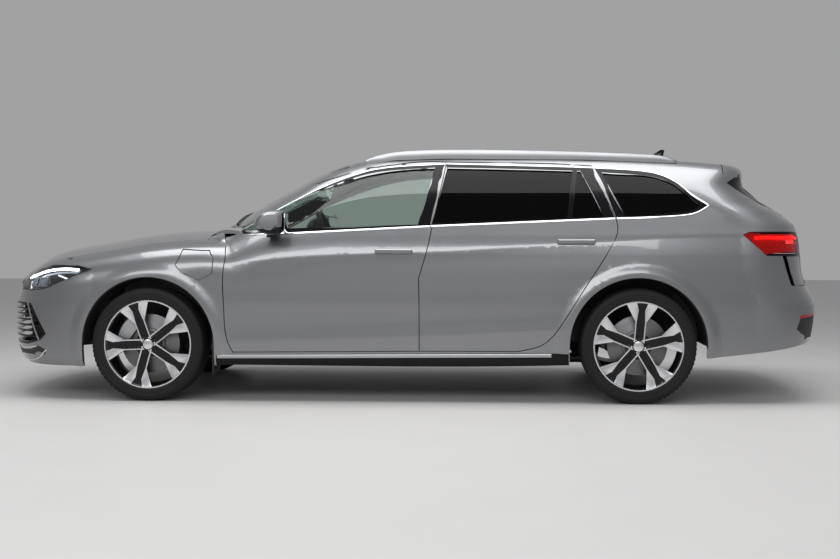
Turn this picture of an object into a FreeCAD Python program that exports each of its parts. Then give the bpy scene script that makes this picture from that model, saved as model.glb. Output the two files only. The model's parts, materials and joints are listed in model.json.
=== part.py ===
# Five-door estate car, in millimetres.
# +X runs to the tail, +Y to the car's right and +Z up from the ground.
# The origin lies on the ground under the middle of the car.
import FreeCAD, Part
import bisect
import math
import os

from FreeCAD import Vector

os.makedirs("parts", exist_ok=True)

# Driving dimensions
LENGTH = 4917.0
BODY_WIDTH = 1849.0
ROOF_HEIGHT = 1475.0
WHEELBASE = 2841.0
FRONT_OVERHANG = 980.0
TRACK = 1600.0
CLEARANCE = 0.3
SHUT_GAP = 5.0
OVERRUN = 60.0

# Body walls
PANEL = 22.0
ROOF_PANEL = 24.0
DOOR_DEPTH = 70.0
DOOR_FRAME_DEPTH = 42.0
DOOR_SLANT = 0.34
DOOR_SLANT_END = 0.5
SEAL_GAP = 5.0
PILLAR_DEPTH = 38.0
PILLAR_LAP = 30.0
FLOOR_HEIGHT = 215.0
FLOOR_PANEL = 22.0
LOAD_FLOOR_HEIGHT = 590.0
GLASS = 5.0
GLASS_INSET = 9.0

# Body curvature
CROWN = 62.0
CROWN_SPAN = 740.0
CROWN_SETBACK = 90.0
SHOULDER_ROLL = 160.0
SHOULDER_DROP = 40.0
SHOULDER_DEPTH = 100.0
NOSE_CORNER = 650.0
TAIL_CORNER = 420.0
NOSE_FULLNESS = (2.9, 2.4)
TAIL_FULLNESS = (4.2, 2.8)

# Wheels
TYRE_RADIUS = 332.0
TYRE_WIDTH = 235.0
TREAD_SHOULDER = 14.0
RIM_RADIUS = 258.0
RIM_WALL = 8.0
RIM_WELL = 26.0
RIM_WIDTH = 222.0
RIM_RECESS = 9.0
SPOKE_PAIRS = 5
SPOKE_DEPTH = 34.0
SPOKE_STEP = 10.0
FRONT_TURN = 38.0
REAR_TURN = 13.0
HUB_RADIUS = 76.0
HUB_DEPTH = 46.0
CAP_RADIUS = 29.0
STUD_COUNT = 5
STUD_CIRCLE = 108.0
STUD_HOLE = 10.0
BORE_RADIUS = 32.0
DISC_RADIUS = 172.0
DISC_THICKNESS = 28.0
DISC_HAT = 88.0
ARCH_RADIUS = 393.0
ARCH_LINER = 4.0
LINER_INNER = 560.0
HAT_DEPTH = 22.0
DISC_GAP = 6.0
CARRIER_RADIUS = 70.0
CARRIER_DEPTH = 46.0
BALL_DROP = 140.0
CALIPER_RIM = 22.0
CALIPER_WIDTH = 96.0
CALIPER_START = 115.0
CALIPER_LENGTH = 190.0
CALIPER_TURN = 215.0

# Cabin
SEAT_LENGTH = 500.0
SEAT_HEIGHT = 840.0
SEAT_PAD = 130.0
SEAT_WIDTH = 500.0
SEAT_SPACING = 740.0
SEAT_RISE = 190.0
BENCH_RISE = 160.0
REAR_BENCH_WIDTH = 1240.0
WHEEL_RING_RADIUS = 182.0
WHEEL_RING_TUBE = 15.0
WHEEL_RING_TILT = 24.0
COLUMN_RADIUS = 32.0

# Running gear and front structure
RAIL_INNER = 400.0
RAIL_WIDTH = 80.0
RAIL_LOW = 300.0
RAIL_TALL = 110.0
ARM_LOW = 168.0
ARM_THICK = 26.0
ARM_WIDTH = 70.0
ENGINE_LENGTH = 640.0
ENGINE_WIDTH = 560.0
ENGINE_TALL = 520.0
LINER_END = 30.0
MIRROR_LENGTH = 178.0
MIRROR_TALL = 142.0
MIRROR_WIDTH = 158.0
MIRROR_STEM = 30.0
MIRROR_PLACE_SHARES = (0.229, 0.657)
HANDLE_LENGTH = 215.0
HANDLE_TALL = 26.0
HANDLE_STAND = 26.0
HANDLE_THICK = 13.0
RAIL_RISE = 34.0
RAIL_THICK = 30.0
FIN_LENGTH = 165.0
FIN_TALL = 78.0
FIN_WIDTH = 40.0
EXHAUST_RADIUS = 32.0
SILL_DEPTH = 14.0

# Steering
STEER_AXIS_INSET = 55.0
BALL_RADIUS = 21.0

# Derived places
AXLE_HEIGHT = TYRE_RADIUS
HALF_WIDTH = BODY_WIDTH / 2
NOSE_X = -LENGTH / 2
TAIL_X = LENGTH / 2
FRONT_AXLE = NOSE_X + FRONT_OVERHANG
REAR_AXLE = FRONT_AXLE + WHEELBASE
REAR_OVERHANG = TAIL_X - REAR_AXLE
HALF_TRACK = TRACK / 2
STEER_AXIS = HALF_TRACK - STEER_AXIS_INSET

# Heights are shares of the roof height.
# Lengths are stations: -1 the nose, 0 the front axle, 1 the rear axle, 2 the tail.


def place_x(station):
    if station < 0:
        return FRONT_AXLE + station * FRONT_OVERHANG
    if station < 1:
        return FRONT_AXLE + station * WHEELBASE
    return REAR_AXLE + (station - 1) * REAR_OVERHANG


def side_point(shares):
    return place_x(shares[0]), shares[1] * ROOF_HEIGHT


def smooth_curve(table):
    """A smooth curve through a table of (place, value), with no overshoot."""
    places = [row[0] for row in table]
    values = [row[1] for row in table]
    last = len(table) - 1
    spans = [places[i + 1] - places[i] for i in range(last)]
    rises = [(values[i + 1] - values[i]) / spans[i] for i in range(last)]
    slopes = [rises[0]]
    for before, after in zip(rises, rises[1:]):
        level = before * after <= 0
        slopes.append(0 if level else 2 * before * after / (before + after))
    slopes.append(rises[-1])

    def value(place):
        if place <= places[0]:
            return values[0] + slopes[0] * (place - places[0])
        if place >= places[-1]:
            return values[-1] + slopes[-1] * (place - places[-1])
        i = bisect.bisect_right(places, place) - 1
        t = (place - places[i]) / spans[i]
        start = values[i] * (1 + 2 * t) * (1 - t) ** 2 + slopes[i] * spans[i] * t * (1 - t) ** 2
        end = values[i + 1] * t * t * (3 - 2 * t) + slopes[i + 1] * spans[i] * t * t * (t - 1)
        return start + end

    return value


# Half width at each height, as shares of the half width
SECTION_SHARES = ((0.122, 0.955), (0.176, 0.985), (0.231, 0.992), (0.305, 0.997), (0.407, 1.0),
                  (0.508, 0.998), (0.576, 0.991), (0.61, 0.982), (0.644, 0.965), (0.678, 0.94),
                  (0.746, 0.886), (0.814, 0.826), (0.881, 0.76), (0.949, 0.685), (1.017, 0.61))
# Half width along the car
PLAN_SHARES = ((-1.0, 0.93), (-0.43, 0.965), (0.0, 0.985), (0.3, 1.0), (0.8, 1.0),
               (1.0, 0.992), (1.5, 0.965), (2.0, 0.92))
# Set back of the nose and of the tail at each height, as shares of the overhangs
NOSE_SHARES = ((0.122, 0.09), (0.167, 0.03), (0.24, 0.0), (0.374, 0.0), (0.431, 0.02),
               (0.481, 0.035), (0.542, 0.07), (1.0, 0.07))
TAIL_SHARES = ((0.122, 0.11), (0.231, 0.027), (0.268, 0.011), (0.336, 0.0), (0.388, 0.002),
               (0.447, 0.042), (0.521, 0.076), (0.574, 0.08), (0.685, 0.1), (0.741, 0.178),
               (0.789, 0.284), (0.864, 0.376), (0.923, 0.362), (1.017, 0.362))
# Centre line of the bonnet, windscreen and roof
CENTRE_SHARES = ((-1.15, 0.38), (-1.0, 0.44), (-0.96, 0.481), (-0.93, 0.506), (-0.82, 0.551),
                 (-0.757, 0.578), (-0.657, 0.601), (-0.505, 0.619), (-0.285, 0.644), (-0.115, 0.662),
                 (0.044, 0.676), (0.112, 0.681), (0.131, 0.698), (0.17, 0.746), (0.229, 0.814),
                 (0.276, 0.861), (0.326, 0.912), (0.385, 0.957), (0.435, 0.981), (0.485, 0.993),
                 (0.59, 1.0), (0.767, 0.998), (0.907, 0.991), (1.125, 0.978), (1.4, 0.963),
                 (1.64, 0.939), (2.1, 0.88))


def scaled(shares, across, up):
    return [(place * across, value * up) for place, value in shares]


section_width = smooth_curve(scaled(SECTION_SHARES, ROOF_HEIGHT, 1))
plan_width = smooth_curve([(place_x(s), v) for s, v in PLAN_SHARES])
nose_setback = smooth_curve(scaled(NOSE_SHARES, ROOF_HEIGHT, FRONT_OVERHANG))
tail_setback = smooth_curve(scaled(TAIL_SHARES, ROOF_HEIGHT, REAR_OVERHANG))
centre_line = smooth_curve([(place_x(s), v * ROOF_HEIGHT) for s, v in CENTRE_SHARES])


def half_width(x, z):
    return HALF_WIDTH * plan_width(x) * section_width(z)


TOP_SAMPLE_SHARES = (0.45, 0.95)


def top_height(x, y, inset=0.0):
    """Height of the outer skin over the bonnet, windscreen and roof."""
    across = abs(y) / CROWN_SPAN
    z = centre_line(x - CROWN_SETBACK * across ** 2.5) - CROWN * across ** 2.4
    level = min(max(centre_line(x) - SHOULDER_DEPTH, TOP_SAMPLE_SHARES[0] * ROOF_HEIGHT),
                TOP_SAMPLE_SHARES[1] * ROOF_HEIGHT)
    roll = (abs(y) - half_width(x, level) + SHOULDER_ROLL) / SHOULDER_ROLL
    if roll > 0:
        z = z - SHOULDER_DROP * roll ** 2
    return z - inset


CORNER_SHARES = (0.0, 0.3, 0.55, 0.75, 0.88, 0.965, 1.0)
SIDE_STEPS = 5


def corner(share, fullness):
    return 1 - max(0.0, 1 - share ** fullness[0]) ** (1 / fullness[1])


def water_line(z, inset):
    """The body's outline at one height, drawn in from the skin by an inset."""
    nose = NOSE_X + nose_setback(z) + inset
    tail = TAIL_X - tail_setback(z) - inset
    front = NOSE_X + NOSE_CORNER
    rear = TAIL_X - tail_setback(z) - TAIL_CORNER
    points = []
    for share in CORNER_SHARES:
        points.append((nose + (front - nose) * corner(share, NOSE_FULLNESS),
                       share * (half_width(front, z) - inset)))
    for i in range(1, SIDE_STEPS):
        x = front + (rear - front) * i / SIDE_STEPS
        points.append((x, half_width(x, z) - inset))
    for share in reversed(CORNER_SHARES):
        points.append((tail - (tail - rear) * corner(share, TAIL_FULLNESS),
                       share * (half_width(rear, z) - inset)))
    mirrored = [(x, -y) for x, y in reversed(points[1:-1])]
    return [Vector(x, y, z) for x, y in points + mirrored]


WALL_HEIGHT_SHARES = (0.08, 0.16, 0.23, 0.37, 0.44, 0.5, 0.575, 0.63, 0.685, 0.74, 0.8, 0.864,
                      0.923, 1.03)


def wall_solid(inset):
    """Everything inside the body's side walls, nose and tail."""
    sections = []
    marks = None
    for share in WALL_HEIGHT_SHARES:
        depth = inset(share * ROOF_HEIGHT) if callable(inset) else inset
        points = water_line(share * ROOF_HEIGHT, depth)
        if marks is None:
            marks = [0.0]
            for a, b in zip(points, points[1:] + points[:1]):
                marks.append(marks[-1] + (b - a).Length)
            marks = [mark / marks[-1] for mark in marks]
        curve = Part.BSplineCurve()
        curve.interpolate(Points=points, PeriodicFlag=True, Parameters=marks)
        sections.append(Part.Wire([curve.toShape()]))
    return Part.makeLoft(sections, True, True)


TOP_STATION_SHARES = (-1.1, -1.0, -0.94, -0.87, -0.78, -0.66, -0.5, -0.3, -0.1, 0.11, 0.17, 0.23, 0.28,
                      0.33, 0.385, 0.435, 0.5, 0.6, 0.9, 1.2, 1.45, 1.65, 2.1)
TOP_ACROSS_SHARES = (0.0, 0.3, 0.55, 0.7, 0.82, 0.95, 1.1)


def top_solid(inset):
    """Everything under the bonnet, windscreen and roof skin."""
    acrosses = [-s for s in reversed(TOP_ACROSS_SHARES[1:])] + list(TOP_ACROSS_SHARES)
    sections = []
    for station in TOP_STATION_SHARES:
        x = place_x(station)
        points = [Vector(x, s * HALF_WIDTH, top_height(x, s * HALF_WIDTH, inset)) for s in acrosses]
        curve = Part.BSplineCurve()
        curve.interpolate(points)
        left, right = points[0], points[-1]
        low_right = Vector(x, right.y, -ROOF_HEIGHT)
        low_left = Vector(x, left.y, -ROOF_HEIGHT)
        sections.append(Part.Wire([curve.toShape(), Part.makeLine(right, low_right),
                                Part.makeLine(low_right, low_left), Part.makeLine(low_left, left)]))
    return Part.makeLoft(sections, True, True)


def body_form(side_inset, top_inset):
    return wall_solid(side_inset).common(top_solid(top_inset))


def door_inset(z):
    """Depth of a door: full below the waist, slim round the glass."""
    waist = smooth_curve(((0.6 * ROOF_HEIGHT, DOOR_DEPTH), (0.72 * ROOF_HEIGHT, DOOR_FRAME_DEPTH)))
    return min(DOOR_DEPTH, max(DOOR_FRAME_DEPTH, waist(z)))


def pocket_inset(z):
    return door_inset(z) + SEAL_GAP


def cabin_inset(z):
    return pocket_inset(z) + PILLAR_DEPTH


# Outlines and prisms
# An outline is a closed list of runs in a flat plane. A run of two points is straight,
# and a longer run is a smooth curve through its points.


def closed_runs(*runs):
    """The runs with a straight run added wherever one doesn't start where the last ended."""
    joined = []
    for i, run in enumerate(runs):
        joined.append(list(run))
        following = runs[(i + 1) % len(runs)][0]
        if math.dist(run[-1], following) > CLEARANCE:
            joined.append([run[-1], following])
    return joined


def polygon(points):
    return [[points[i], points[(i + 1) % len(points)]] for i in range(len(points))]


def both_halves(points):
    """A symmetrical polygon from the points of one half, which start and end on the middle line."""
    return polygon(list(points) + [(-a, b) for a, b in reversed(points) if a > 0])


def unit(start, end):
    length = math.dist(start, end)
    return (end[0] - start[0]) / length, (end[1] - start[1]) / length


def shifted(point, before, after, gap):
    """The point moved outwards so that the lines on both its sides move by the gap."""
    normal = (before[1] + after[1], -before[0] - after[0])
    size = math.hypot(*normal)
    spread = gap * 2 / size / size
    return point[0] + normal[0] * spread, point[1] + normal[1] * spread


def grown(runs, gap):
    """The same outline, wider by a gap all round."""
    if gap == 0:
        return runs
    corners = [run[0] for run in runs]
    turns = zip(corners, corners[1:] + corners[:1])
    if sum(a[0] * b[1] - b[0] * a[1] for a, b in turns) < 0:
        gap = -gap
    result = []
    for i, run in enumerate(runs):
        last = runs[i - 1]
        following = runs[(i + 1) % len(runs)]
        ways = [unit(a, b) for a, b in zip(run, run[1:])]
        ways = [unit(last[-2], last[-1])] + ways + [unit(following[0], following[1])]
        result.append([shifted(point, ways[k], ways[k + 1], gap) for k, point in enumerate(run)])
    return result


def side_run(*shares):
    return [(place_x(s), h * ROOF_HEIGHT) for s, h in shares]


def rear_run(*shares):
    return [(w * HALF_WIDTH, h * ROOF_HEIGHT) for w, h in shares]


def plan_run(*shares):
    return [(place_x(s), w * HALF_WIDTH) for s, w in shares]


def prism(runs, gap, place, way):
    edges = []
    for run in grown(runs, gap):
        points = [place(a, b) for a, b in run]
        if len(points) == 2:
            edges.append(Part.makeLine(points[0], points[1]))
        else:
            curve = Part.BSplineCurve()
            curve.interpolate(points)
            edges.append(curve.toShape())
    return Part.Face(Part.Wire(edges)).extrude(way)


def across_prism(runs, gap=0.0):
    """A side outline carried right across the car."""
    return prism(runs, gap, lambda x, z: Vector(x, -BODY_WIDTH, z), Vector(0, 2 * BODY_WIDTH, 0))


def door_prism(runs, gap, hand):
    """A door's outline carried into one side of the car, drawn forward as it goes in.

    The slant lets the rear edge swing out past its neighbour.
    """
    start = HALF_WIDTH + OVERRUN
    depth = start - DOOR_SLANT_END * HALF_WIDTH
    moved = [[(x + DOOR_SLANT * (start - half_width(x, z)), z) for x, z in run]
             for run in grown(runs, gap)]
    return prism(moved, 0.0, lambda x, z: Vector(x, hand * start, z),
                 Vector(-DOOR_SLANT * depth, -hand * depth, 0))


def door_prisms(runs, gap=0.0):
    return door_prism(runs, gap, -1).fuse(door_prism(runs, gap, 1))


def upright_prism(runs, gap=0.0, low=0.0):
    return prism(runs, gap, lambda x, y: Vector(x, y, low), Vector(0, 0, 2 * ROOF_HEIGHT))


def lengthwise_prism(runs, start, gap=0.0):
    return prism(runs, gap, lambda y, z: Vector(start, y, z), Vector(LENGTH, 0, 0))


def block(x0, x1, y0, y1, z0, z1):
    return Part.makeBox(x1 - x0, y1 - y0, z1 - z0, Vector(x0, y0, z0))


def both_sides(y0, y1, x0=NOSE_X - OVERRUN, x1=TAIL_X + OVERRUN, z0=-OVERRUN, z1=2 * ROOF_HEIGHT):
    return block(x0, x1, y0, y1, z0, z1).fuse(block(x0, x1, -y1, -y0, z0, z1))


def mirrored(shape):
    return shape.mirror(Vector(0, 0, 0), Vector(0, 1, 0))


def on_left(shape):
    half = block(NOSE_X - OVERRUN, TAIL_X + OVERRUN, -BODY_WIDTH, 0, -OVERRUN, 2 * ROOF_HEIGHT)
    return shape.common(half)


def biggest(shape, count=1):
    solids = sorted(shape.Solids, key=lambda s: -s.Volume)
    chosen = solids[:count]
    return chosen[0] if len(chosen) == 1 else Part.makeCompound(chosen)


nodes = {}


def keep(name, shape):
    nodes[name] = shape
    return shape


# Side outlines, as stations and height shares

DOOR_TOP_FRONT = ((0.168, 0.678), (0.187, 0.701), (0.267, 0.786), (0.338, 0.854), (0.421, 0.915),
                  (0.488, 0.943), (0.61, 0.958))
DOOR_TOP_REAR = ((0.61, 0.958), (0.741, 0.953), (0.873, 0.946), (0.912, 0.942))
DOOR_LEAD = ((0.177, 0.196), (0.166, 0.24), (0.159, 0.368), (0.157, 0.487), (0.163, 0.585),
             (0.168, 0.678))
DOOR_SPLIT = ((0.61, 0.958), (0.5845, 0.70), (0.5575, 0.49), (0.5585, 0.203))
DOOR_TRAIL = ((0.912, 0.942), (0.955, 0.726), (0.959, 0.683), (0.948, 0.621), (0.919, 0.531),
              (0.884, 0.427), (0.848, 0.316), (0.825, 0.257), (0.806, 0.228), (0.777, 0.211),
              (0.76, 0.204))
GLASS_TOP_FRONT = ((0.192, 0.688), (0.267, 0.764), (0.339, 0.830), (0.421, 0.890), (0.488, 0.917),
                   (0.587, 0.930))
GLASS_TOP_REAR = ((0.612, 0.930), (0.741, 0.924), (0.888, 0.914))
QUARTER_TOP = ((0.931, 0.908), (0.997, 0.899), (1.115, 0.886), (1.2, 0.856), (1.27, 0.81), (1.33, 0.772))

GLASS_LOW_FRONT = ((0.555, 0.697), (0.3, 0.683), (0.192, 0.676))
GLASS_LOW_REAR = ((0.932, 0.725), (0.79, 0.716), (0.585, 0.702))
QUARTER_LOW = ((1.29, 0.752), (1.2, 0.742), (0.975, 0.727))

split_down = [side_run(*ends) for ends in zip(DOOR_SPLIT, DOOR_SPLIT[1:])]
split_up = [list(reversed(run)) for run in reversed(split_down)]
door_front_outline = closed_runs(side_run(*DOOR_LEAD), side_run(*DOOR_TOP_FRONT), *split_down)
door_rear_outline = closed_runs(*split_up, side_run(*DOOR_TOP_REAR), side_run(*DOOR_TRAIL))
glass_front_outline = closed_runs(side_run(*GLASS_TOP_FRONT), side_run(*GLASS_LOW_FRONT))
glass_rear_outline = closed_runs(side_run(*GLASS_TOP_REAR), side_run(*GLASS_LOW_REAR))
quarter_outline = closed_runs(side_run(*QUARTER_TOP), side_run(*QUARTER_LOW))

# Wheel arches


def arch_cut(axle, radius):
    ring = Part.makeCylinder(radius, 2 * BODY_WIDTH, Vector(axle, -BODY_WIDTH, AXLE_HEIGHT),
                             Vector(0, 1, 0))
    below = block(axle - radius, axle + radius, -BODY_WIDTH, BODY_WIDTH, -OVERRUN, AXLE_HEIGHT)
    return ring.fuse(below)


front_arch = arch_cut(FRONT_AXLE, ARCH_RADIUS)
rear_arch = arch_cut(REAR_AXLE, ARCH_RADIUS)

# Lower edge of the body
SILL_SHARES = ((-1.1, 0.145), (-0.687, 0.135), (0.0, 0.142), (0.5, 0.142), (1.0, 0.162), (1.5, 0.19),
               (1.85, 0.225), (2.1, 0.26))
sill_curve = side_run(*SILL_SHARES)
under_outline = closed_runs(sill_curve, [(sill_curve[-1][0], -ROOF_HEIGHT), (sill_curve[0][0], -ROOF_HEIGHT)])
underneath = across_prism(under_outline)

SILL_ZONE_SHARES = ((0.142, 0.08), (0.142, 0.185), (0.76, 0.196), (0.86, 0.196), (0.86, 0.08))
sill_zone = across_prism(polygon(side_run(*SILL_ZONE_SHARES)))

# Forms
outer = body_form(0.0, 0.0).cut(underneath)
thin = body_form(PANEL, ROOF_PANEL)
door_inner = body_form(door_inset, ROOF_PANEL)
pocket_inner = body_form(pocket_inset, ROOF_PANEL)
door_rest = body_form(lambda z: door_inset(z) + CLEARANCE, ROOF_PANEL)
cabin = body_form(cabin_inset, ROOF_PANEL)

skin = outer.cut(thin)

# Bonnet, seen from above
BONNET_BACK = 0.106
BONNET_SIDE_SHARES = ((-0.93, 0.55), (-0.8, 0.70), (-0.62, 0.775), (-0.35, 0.805), (0.0, 0.81),
                      (0.112, 0.79))


BONNET_FRONT_SHARES = ((-0.93, -0.55), (-0.975, -0.3), (-0.985, 0.0), (-0.975, 0.3), (-0.93, 0.55))
bonnet_right = plan_run(*BONNET_SIDE_SHARES)
bonnet_left = [(x, -y) for x, y in reversed(bonnet_right)]
bonnet_back = [bonnet_right[-1], (place_x(BONNET_BACK), 0.0), bonnet_left[0]]
bonnet_outline = closed_runs(plan_run(*BONNET_FRONT_SHARES), bonnet_right, bonnet_back, bonnet_left)
BONNET_LOW = 0.42 * ROOF_HEIGHT
bonnet_gap_prism = upright_prism(bonnet_outline, SHUT_GAP, BONNET_LOW)
bonnet = skin.common(upright_prism(bonnet_outline, 0.0, BONNET_LOW))
keep("hood", biggest(bonnet))

# Lamps
HEADLAMP_SHARES = ((-1.05, 0.44), (-0.694, 0.432), (-0.612, 0.448), (-0.472, 0.49), (-0.361, 0.525),
                   (-0.419, 0.545), (-0.542, 0.56), (-1.05, 0.56))
headlamp_outline = polygon(side_run(*HEADLAMP_SHARES))
LAMP_INNER = 0.6 * HALF_WIDTH
headlamp_zone = across_prism(headlamp_outline).common(both_sides(LAMP_INNER, BODY_WIDTH))
lamp_ring = outer.cut(body_form(3 * PANEL, 3 * PANEL))
headlamps = lamp_ring.common(headlamp_zone).cut(bonnet_gap_prism)
keep("headlamps", biggest(headlamps, 2))

front_zone = block(NOSE_X - OVERRUN, place_x(DOOR_LEAD[0][0]), -BODY_WIDTH, BODY_WIDTH, -OVERRUN,
                   ROOF_HEIGHT)
BUMPER_SHARES = ((-1.1, 0.05), (-1.1, 0.5), (-0.361, 0.525), (-0.17, 0.47), (-0.17, 0.05))
bumper_outline = polygon(side_run(*BUMPER_SHARES))
bumper_zone = across_prism(bumper_outline)
front_skin = skin.common(front_zone).cut(headlamp_zone).cut(bonnet_gap_prism).cut(front_arch)
bumper = front_skin.common(bumper_zone)

# Lower intake, right across the nose and round both its corners
GRILLE_SHARES = ((-1.1, 0.392), (-0.7515, 0.383), (-0.639, 0.261), (-0.685, 0.234), (-0.787, 0.216),
                 (-1.1, 0.216))
GRILLE_SLATS = 6
GRILLE_SLAT = 9.0
GRILLE_FRAME = 14.0
grille_outline = polygon(side_run(*GRILLE_SHARES))
intake = across_prism(grille_outline)
keep("front_bumper", biggest(bumper.cut(intake)))
grille_skin = skin.common(intake)
slat_low = GRILLE_SHARES[-1][1] * ROOF_HEIGHT + GRILLE_FRAME
slat_pitch = (GRILLE_SHARES[0][1] * ROOF_HEIGHT - GRILLE_FRAME - slat_low) / (GRILLE_SLATS + 1)
slats = []
for i in range(GRILLE_SLATS):
    level = slat_low + slat_pitch * (i + 1)
    slats.append(block(NOSE_X - OVERRUN, NOSE_X + 2 * NOSE_CORNER, -HALF_WIDTH, HALF_WIDTH,
                       level - GRILLE_SLAT / 2, level + GRILLE_SLAT / 2))
openings = across_prism(grille_outline, -GRILLE_FRAME).cut(Part.makeCompound(slats))
keep("front_grille", biggest(grille_skin.cut(openings)))

# Windscreen
SCREEN_LOW_SHARES = ((0.178, -0.775), (0.158, -0.7), (0.14, -0.4), (0.13, 0.0), (0.14, 0.4),
                     (0.158, 0.7), (0.178, 0.775))
SCREEN_SIDE_SHARES = ((0.178, 0.775), (0.26, 0.76), (0.35, 0.69), (0.405, 0.63))
SCREEN_TOP = 0.385
SCREEN_PILLAR = 26.0
screen_low = plan_run(*SCREEN_LOW_SHARES)
screen_right = plan_run(*SCREEN_SIDE_SHARES)
screen_left = [(x, -y) for x, y in reversed(screen_right)]
screen_top = [screen_right[-1], (place_x(SCREEN_TOP), 0.0), screen_left[0]]
screen_outline = closed_runs(screen_low, screen_right, screen_top, screen_left)
SCREEN_SLOPE_LOW = 0.5 * ROOF_HEIGHT
screen_post = door_prisms(door_front_outline, SCREEN_PILLAR)
screen_opening = upright_prism(screen_outline, 0.0, SCREEN_SLOPE_LOW).cut(screen_post)

fender_outline = closed_runs(side_run((-0.5, 0.05), (-0.5, 0.75)), side_run((-0.5, 0.75), (0.168, 0.75)),
                          side_run(*reversed(DOOR_LEAD)), side_run((0.177, 0.05), (-0.5, 0.05)))
fender_zone = across_prism(fender_outline, -SHUT_GAP / 2)
FLAP_HINGE_LEAD = 2.0
FLAP_HINGE_DEPTH = 7.5
FLAP_SHARES = ((0.071, 0.596), (0.126, 0.596), (0.136, 0.567), (0.134, 0.507), (0.108, 0.481),
               (0.071, 0.513), (0.059, 0.539))
flap_outline = polygon(side_run(*FLAP_SHARES))
fender_limit = both_sides(0.7 * HALF_WIDTH, BODY_WIDTH)
fenders = front_skin.cut(bumper_zone).common(fender_zone).common(fender_limit)
flap_left = across_prism(flap_outline, SHUT_GAP).common(both_sides(HALF_WIDTH / 2, BODY_WIDTH))
flap_half = block(NOSE_X, TAIL_X, -BODY_WIDTH, 0, 0, ROOF_HEIGHT)
fenders = fenders.cut(flap_left.common(flap_half)).cut(sill_zone)
fenders = fenders.cut(door_prisms(door_front_outline, SHUT_GAP / 2)).cut(screen_opening)
flap_port = thin.cut(door_inner).common(across_prism(flap_outline, 3 * SHUT_GAP)).common(flap_half)
flap_hinge = Vector(place_x(FLAP_SHARES[-1][0]) - FLAP_HINGE_LEAD, -HALF_WIDTH + FLAP_HINGE_DEPTH, 0)
flap_port = flap_port.cut(Part.makeCylinder(PANEL + SHUT_GAP, ROOF_HEIGHT, flap_hinge))
keep("front_fenders", biggest(fenders.fuse(biggest(flap_port)), 2))
flap = skin.common(across_prism(flap_outline)).common(flap_half)
flap = flap.cut(thin.translated(Vector(0, -CLEARANCE, 0)))
keep("charge_flap", biggest(flap))

# Doors and body side
# The scuttle between the two front doors stays with the body.
SCUTTLE_SHARES = (0.35, 0.825, 0.69)
scuttle = block(NOSE_X, place_x(SCUTTLE_SHARES[0]), -SCUTTLE_SHARES[1] * HALF_WIDTH,
                SCUTTLE_SHARES[1] * HALF_WIDTH, 0, SCUTTLE_SHARES[2] * ROOF_HEIGHT)
door_ring = outer.cut(door_inner).cut(scuttle)
pocket_ring = outer.cut(pocket_inner).cut(scuttle)
side_limit = both_sides(0.5 * HALF_WIDTH, BODY_WIDTH)


def door(outline, glass_outline, front_axle=False):
    shape = door_ring.common(door_prisms(outline, -SHUT_GAP / 2))
    shape = shape.cut(across_prism(glass_outline))
    if not front_axle:
        shape = shape.cut(arch_cut(REAR_AXLE, ARCH_RADIUS + SHUT_GAP))
    return shape


# Handles, as places of their front ends
HANDLE_SHARES = ((0.469, 0.584), (0.837, 0.622))


def handle(station, height):
    """A bar that stands off the door on two feet, on both sides of the car."""
    x = place_x(station)
    z = height * ROOF_HEIGHT
    y = half_width(x + HANDLE_LENGTH / 2, z)
    bar = block(x, x + HANDLE_LENGTH, y + HANDLE_STAND - HANDLE_THICK, y + HANDLE_STAND, z, z + HANDLE_TALL)
    bar = bar.makeChamfer(HANDLE_THICK / 3, bar.Edges)
    for start in (x + HANDLE_THICK, x + HANDLE_LENGTH - 3 * HANDLE_THICK):
        bar = bar.fuse(block(start, start + 2 * HANDLE_THICK, y - PANEL / 2, y + HANDLE_STAND - HANDLE_THICK / 2,
                             z + HANDLE_THICK / 2, z + HANDLE_TALL - HANDLE_THICK / 2))
    return bar.fuse(mirrored(bar))


front_doors = door(door_front_outline, glass_front_outline, True).fuse(handle(*HANDLE_SHARES[0]))
rear_doors = door(door_rear_outline, glass_rear_outline).fuse(handle(*HANDLE_SHARES[1]))
glass_layer = wall_solid(GLASS_INSET).cut(wall_solid(GLASS_INSET + GLASS)).common(side_limit)


def glazing(outline):
    return glass_layer.common(across_prism(outline, -CLEARANCE))


front_glass = glazing(glass_front_outline)
rear_glass = glazing(glass_rear_outline)
for side, hand in (("left", -1), ("right", 1)):
    half = block(NOSE_X, TAIL_X, min(0, hand * BODY_WIDTH), max(0, hand * BODY_WIDTH), 0,
                 2 * ROOF_HEIGHT)
    keep("door_front_" + side, biggest(front_doors.common(half)))
    keep("door_rear_" + side, biggest(rear_doors.common(half)))
    keep("window_front_" + side, biggest(front_glass.common(half)))
    keep("window_rear_" + side, biggest(rear_glass.common(half)))
keep("quarter_windows", biggest(glazing(quarter_outline), 2))

# Tailgate, seen from behind
TAILGATE_SHARES = ((0.52, 0.448), (0.655, 0.475), (0.675, 0.56), (0.685, 0.66), (0.695, 0.75),
                   (0.69, 0.82), (0.68, 0.885), (0.67, 0.93), (0.66, 1.1))


tailgate_outline = both_halves(rear_run(*TAILGATE_SHARES))
TAILGATE_FRONT = 1.475
TAILGATE_DEPTH = 55.0
tailgate_x = place_x(TAILGATE_FRONT)
gate_ring = outer.cut(body_form(TAILGATE_DEPTH, ROOF_PANEL + PANEL))
gate = gate_ring.common(lengthwise_prism(tailgate_outline, tailgate_x + SHUT_GAP, -SHUT_GAP / 2))
gate_opening = lengthwise_prism(tailgate_outline, tailgate_x, SHUT_GAP / 2)
SCREEN_SHARES = ((0.0, 0.715), (0.56, 0.72), (0.61, 0.735), (0.60, 0.79), (0.55, 0.855), (0.0, 0.862))
rear_screen_outline = both_halves(rear_run(*SCREEN_SHARES))
gate = gate.cut(lengthwise_prism(rear_screen_outline, tailgate_x + TAILGATE_DEPTH))
keep("tailgate", biggest(gate))
screen_layer = wall_solid(GLASS_INSET).cut(wall_solid(GLASS_INSET + GLASS))
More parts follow.
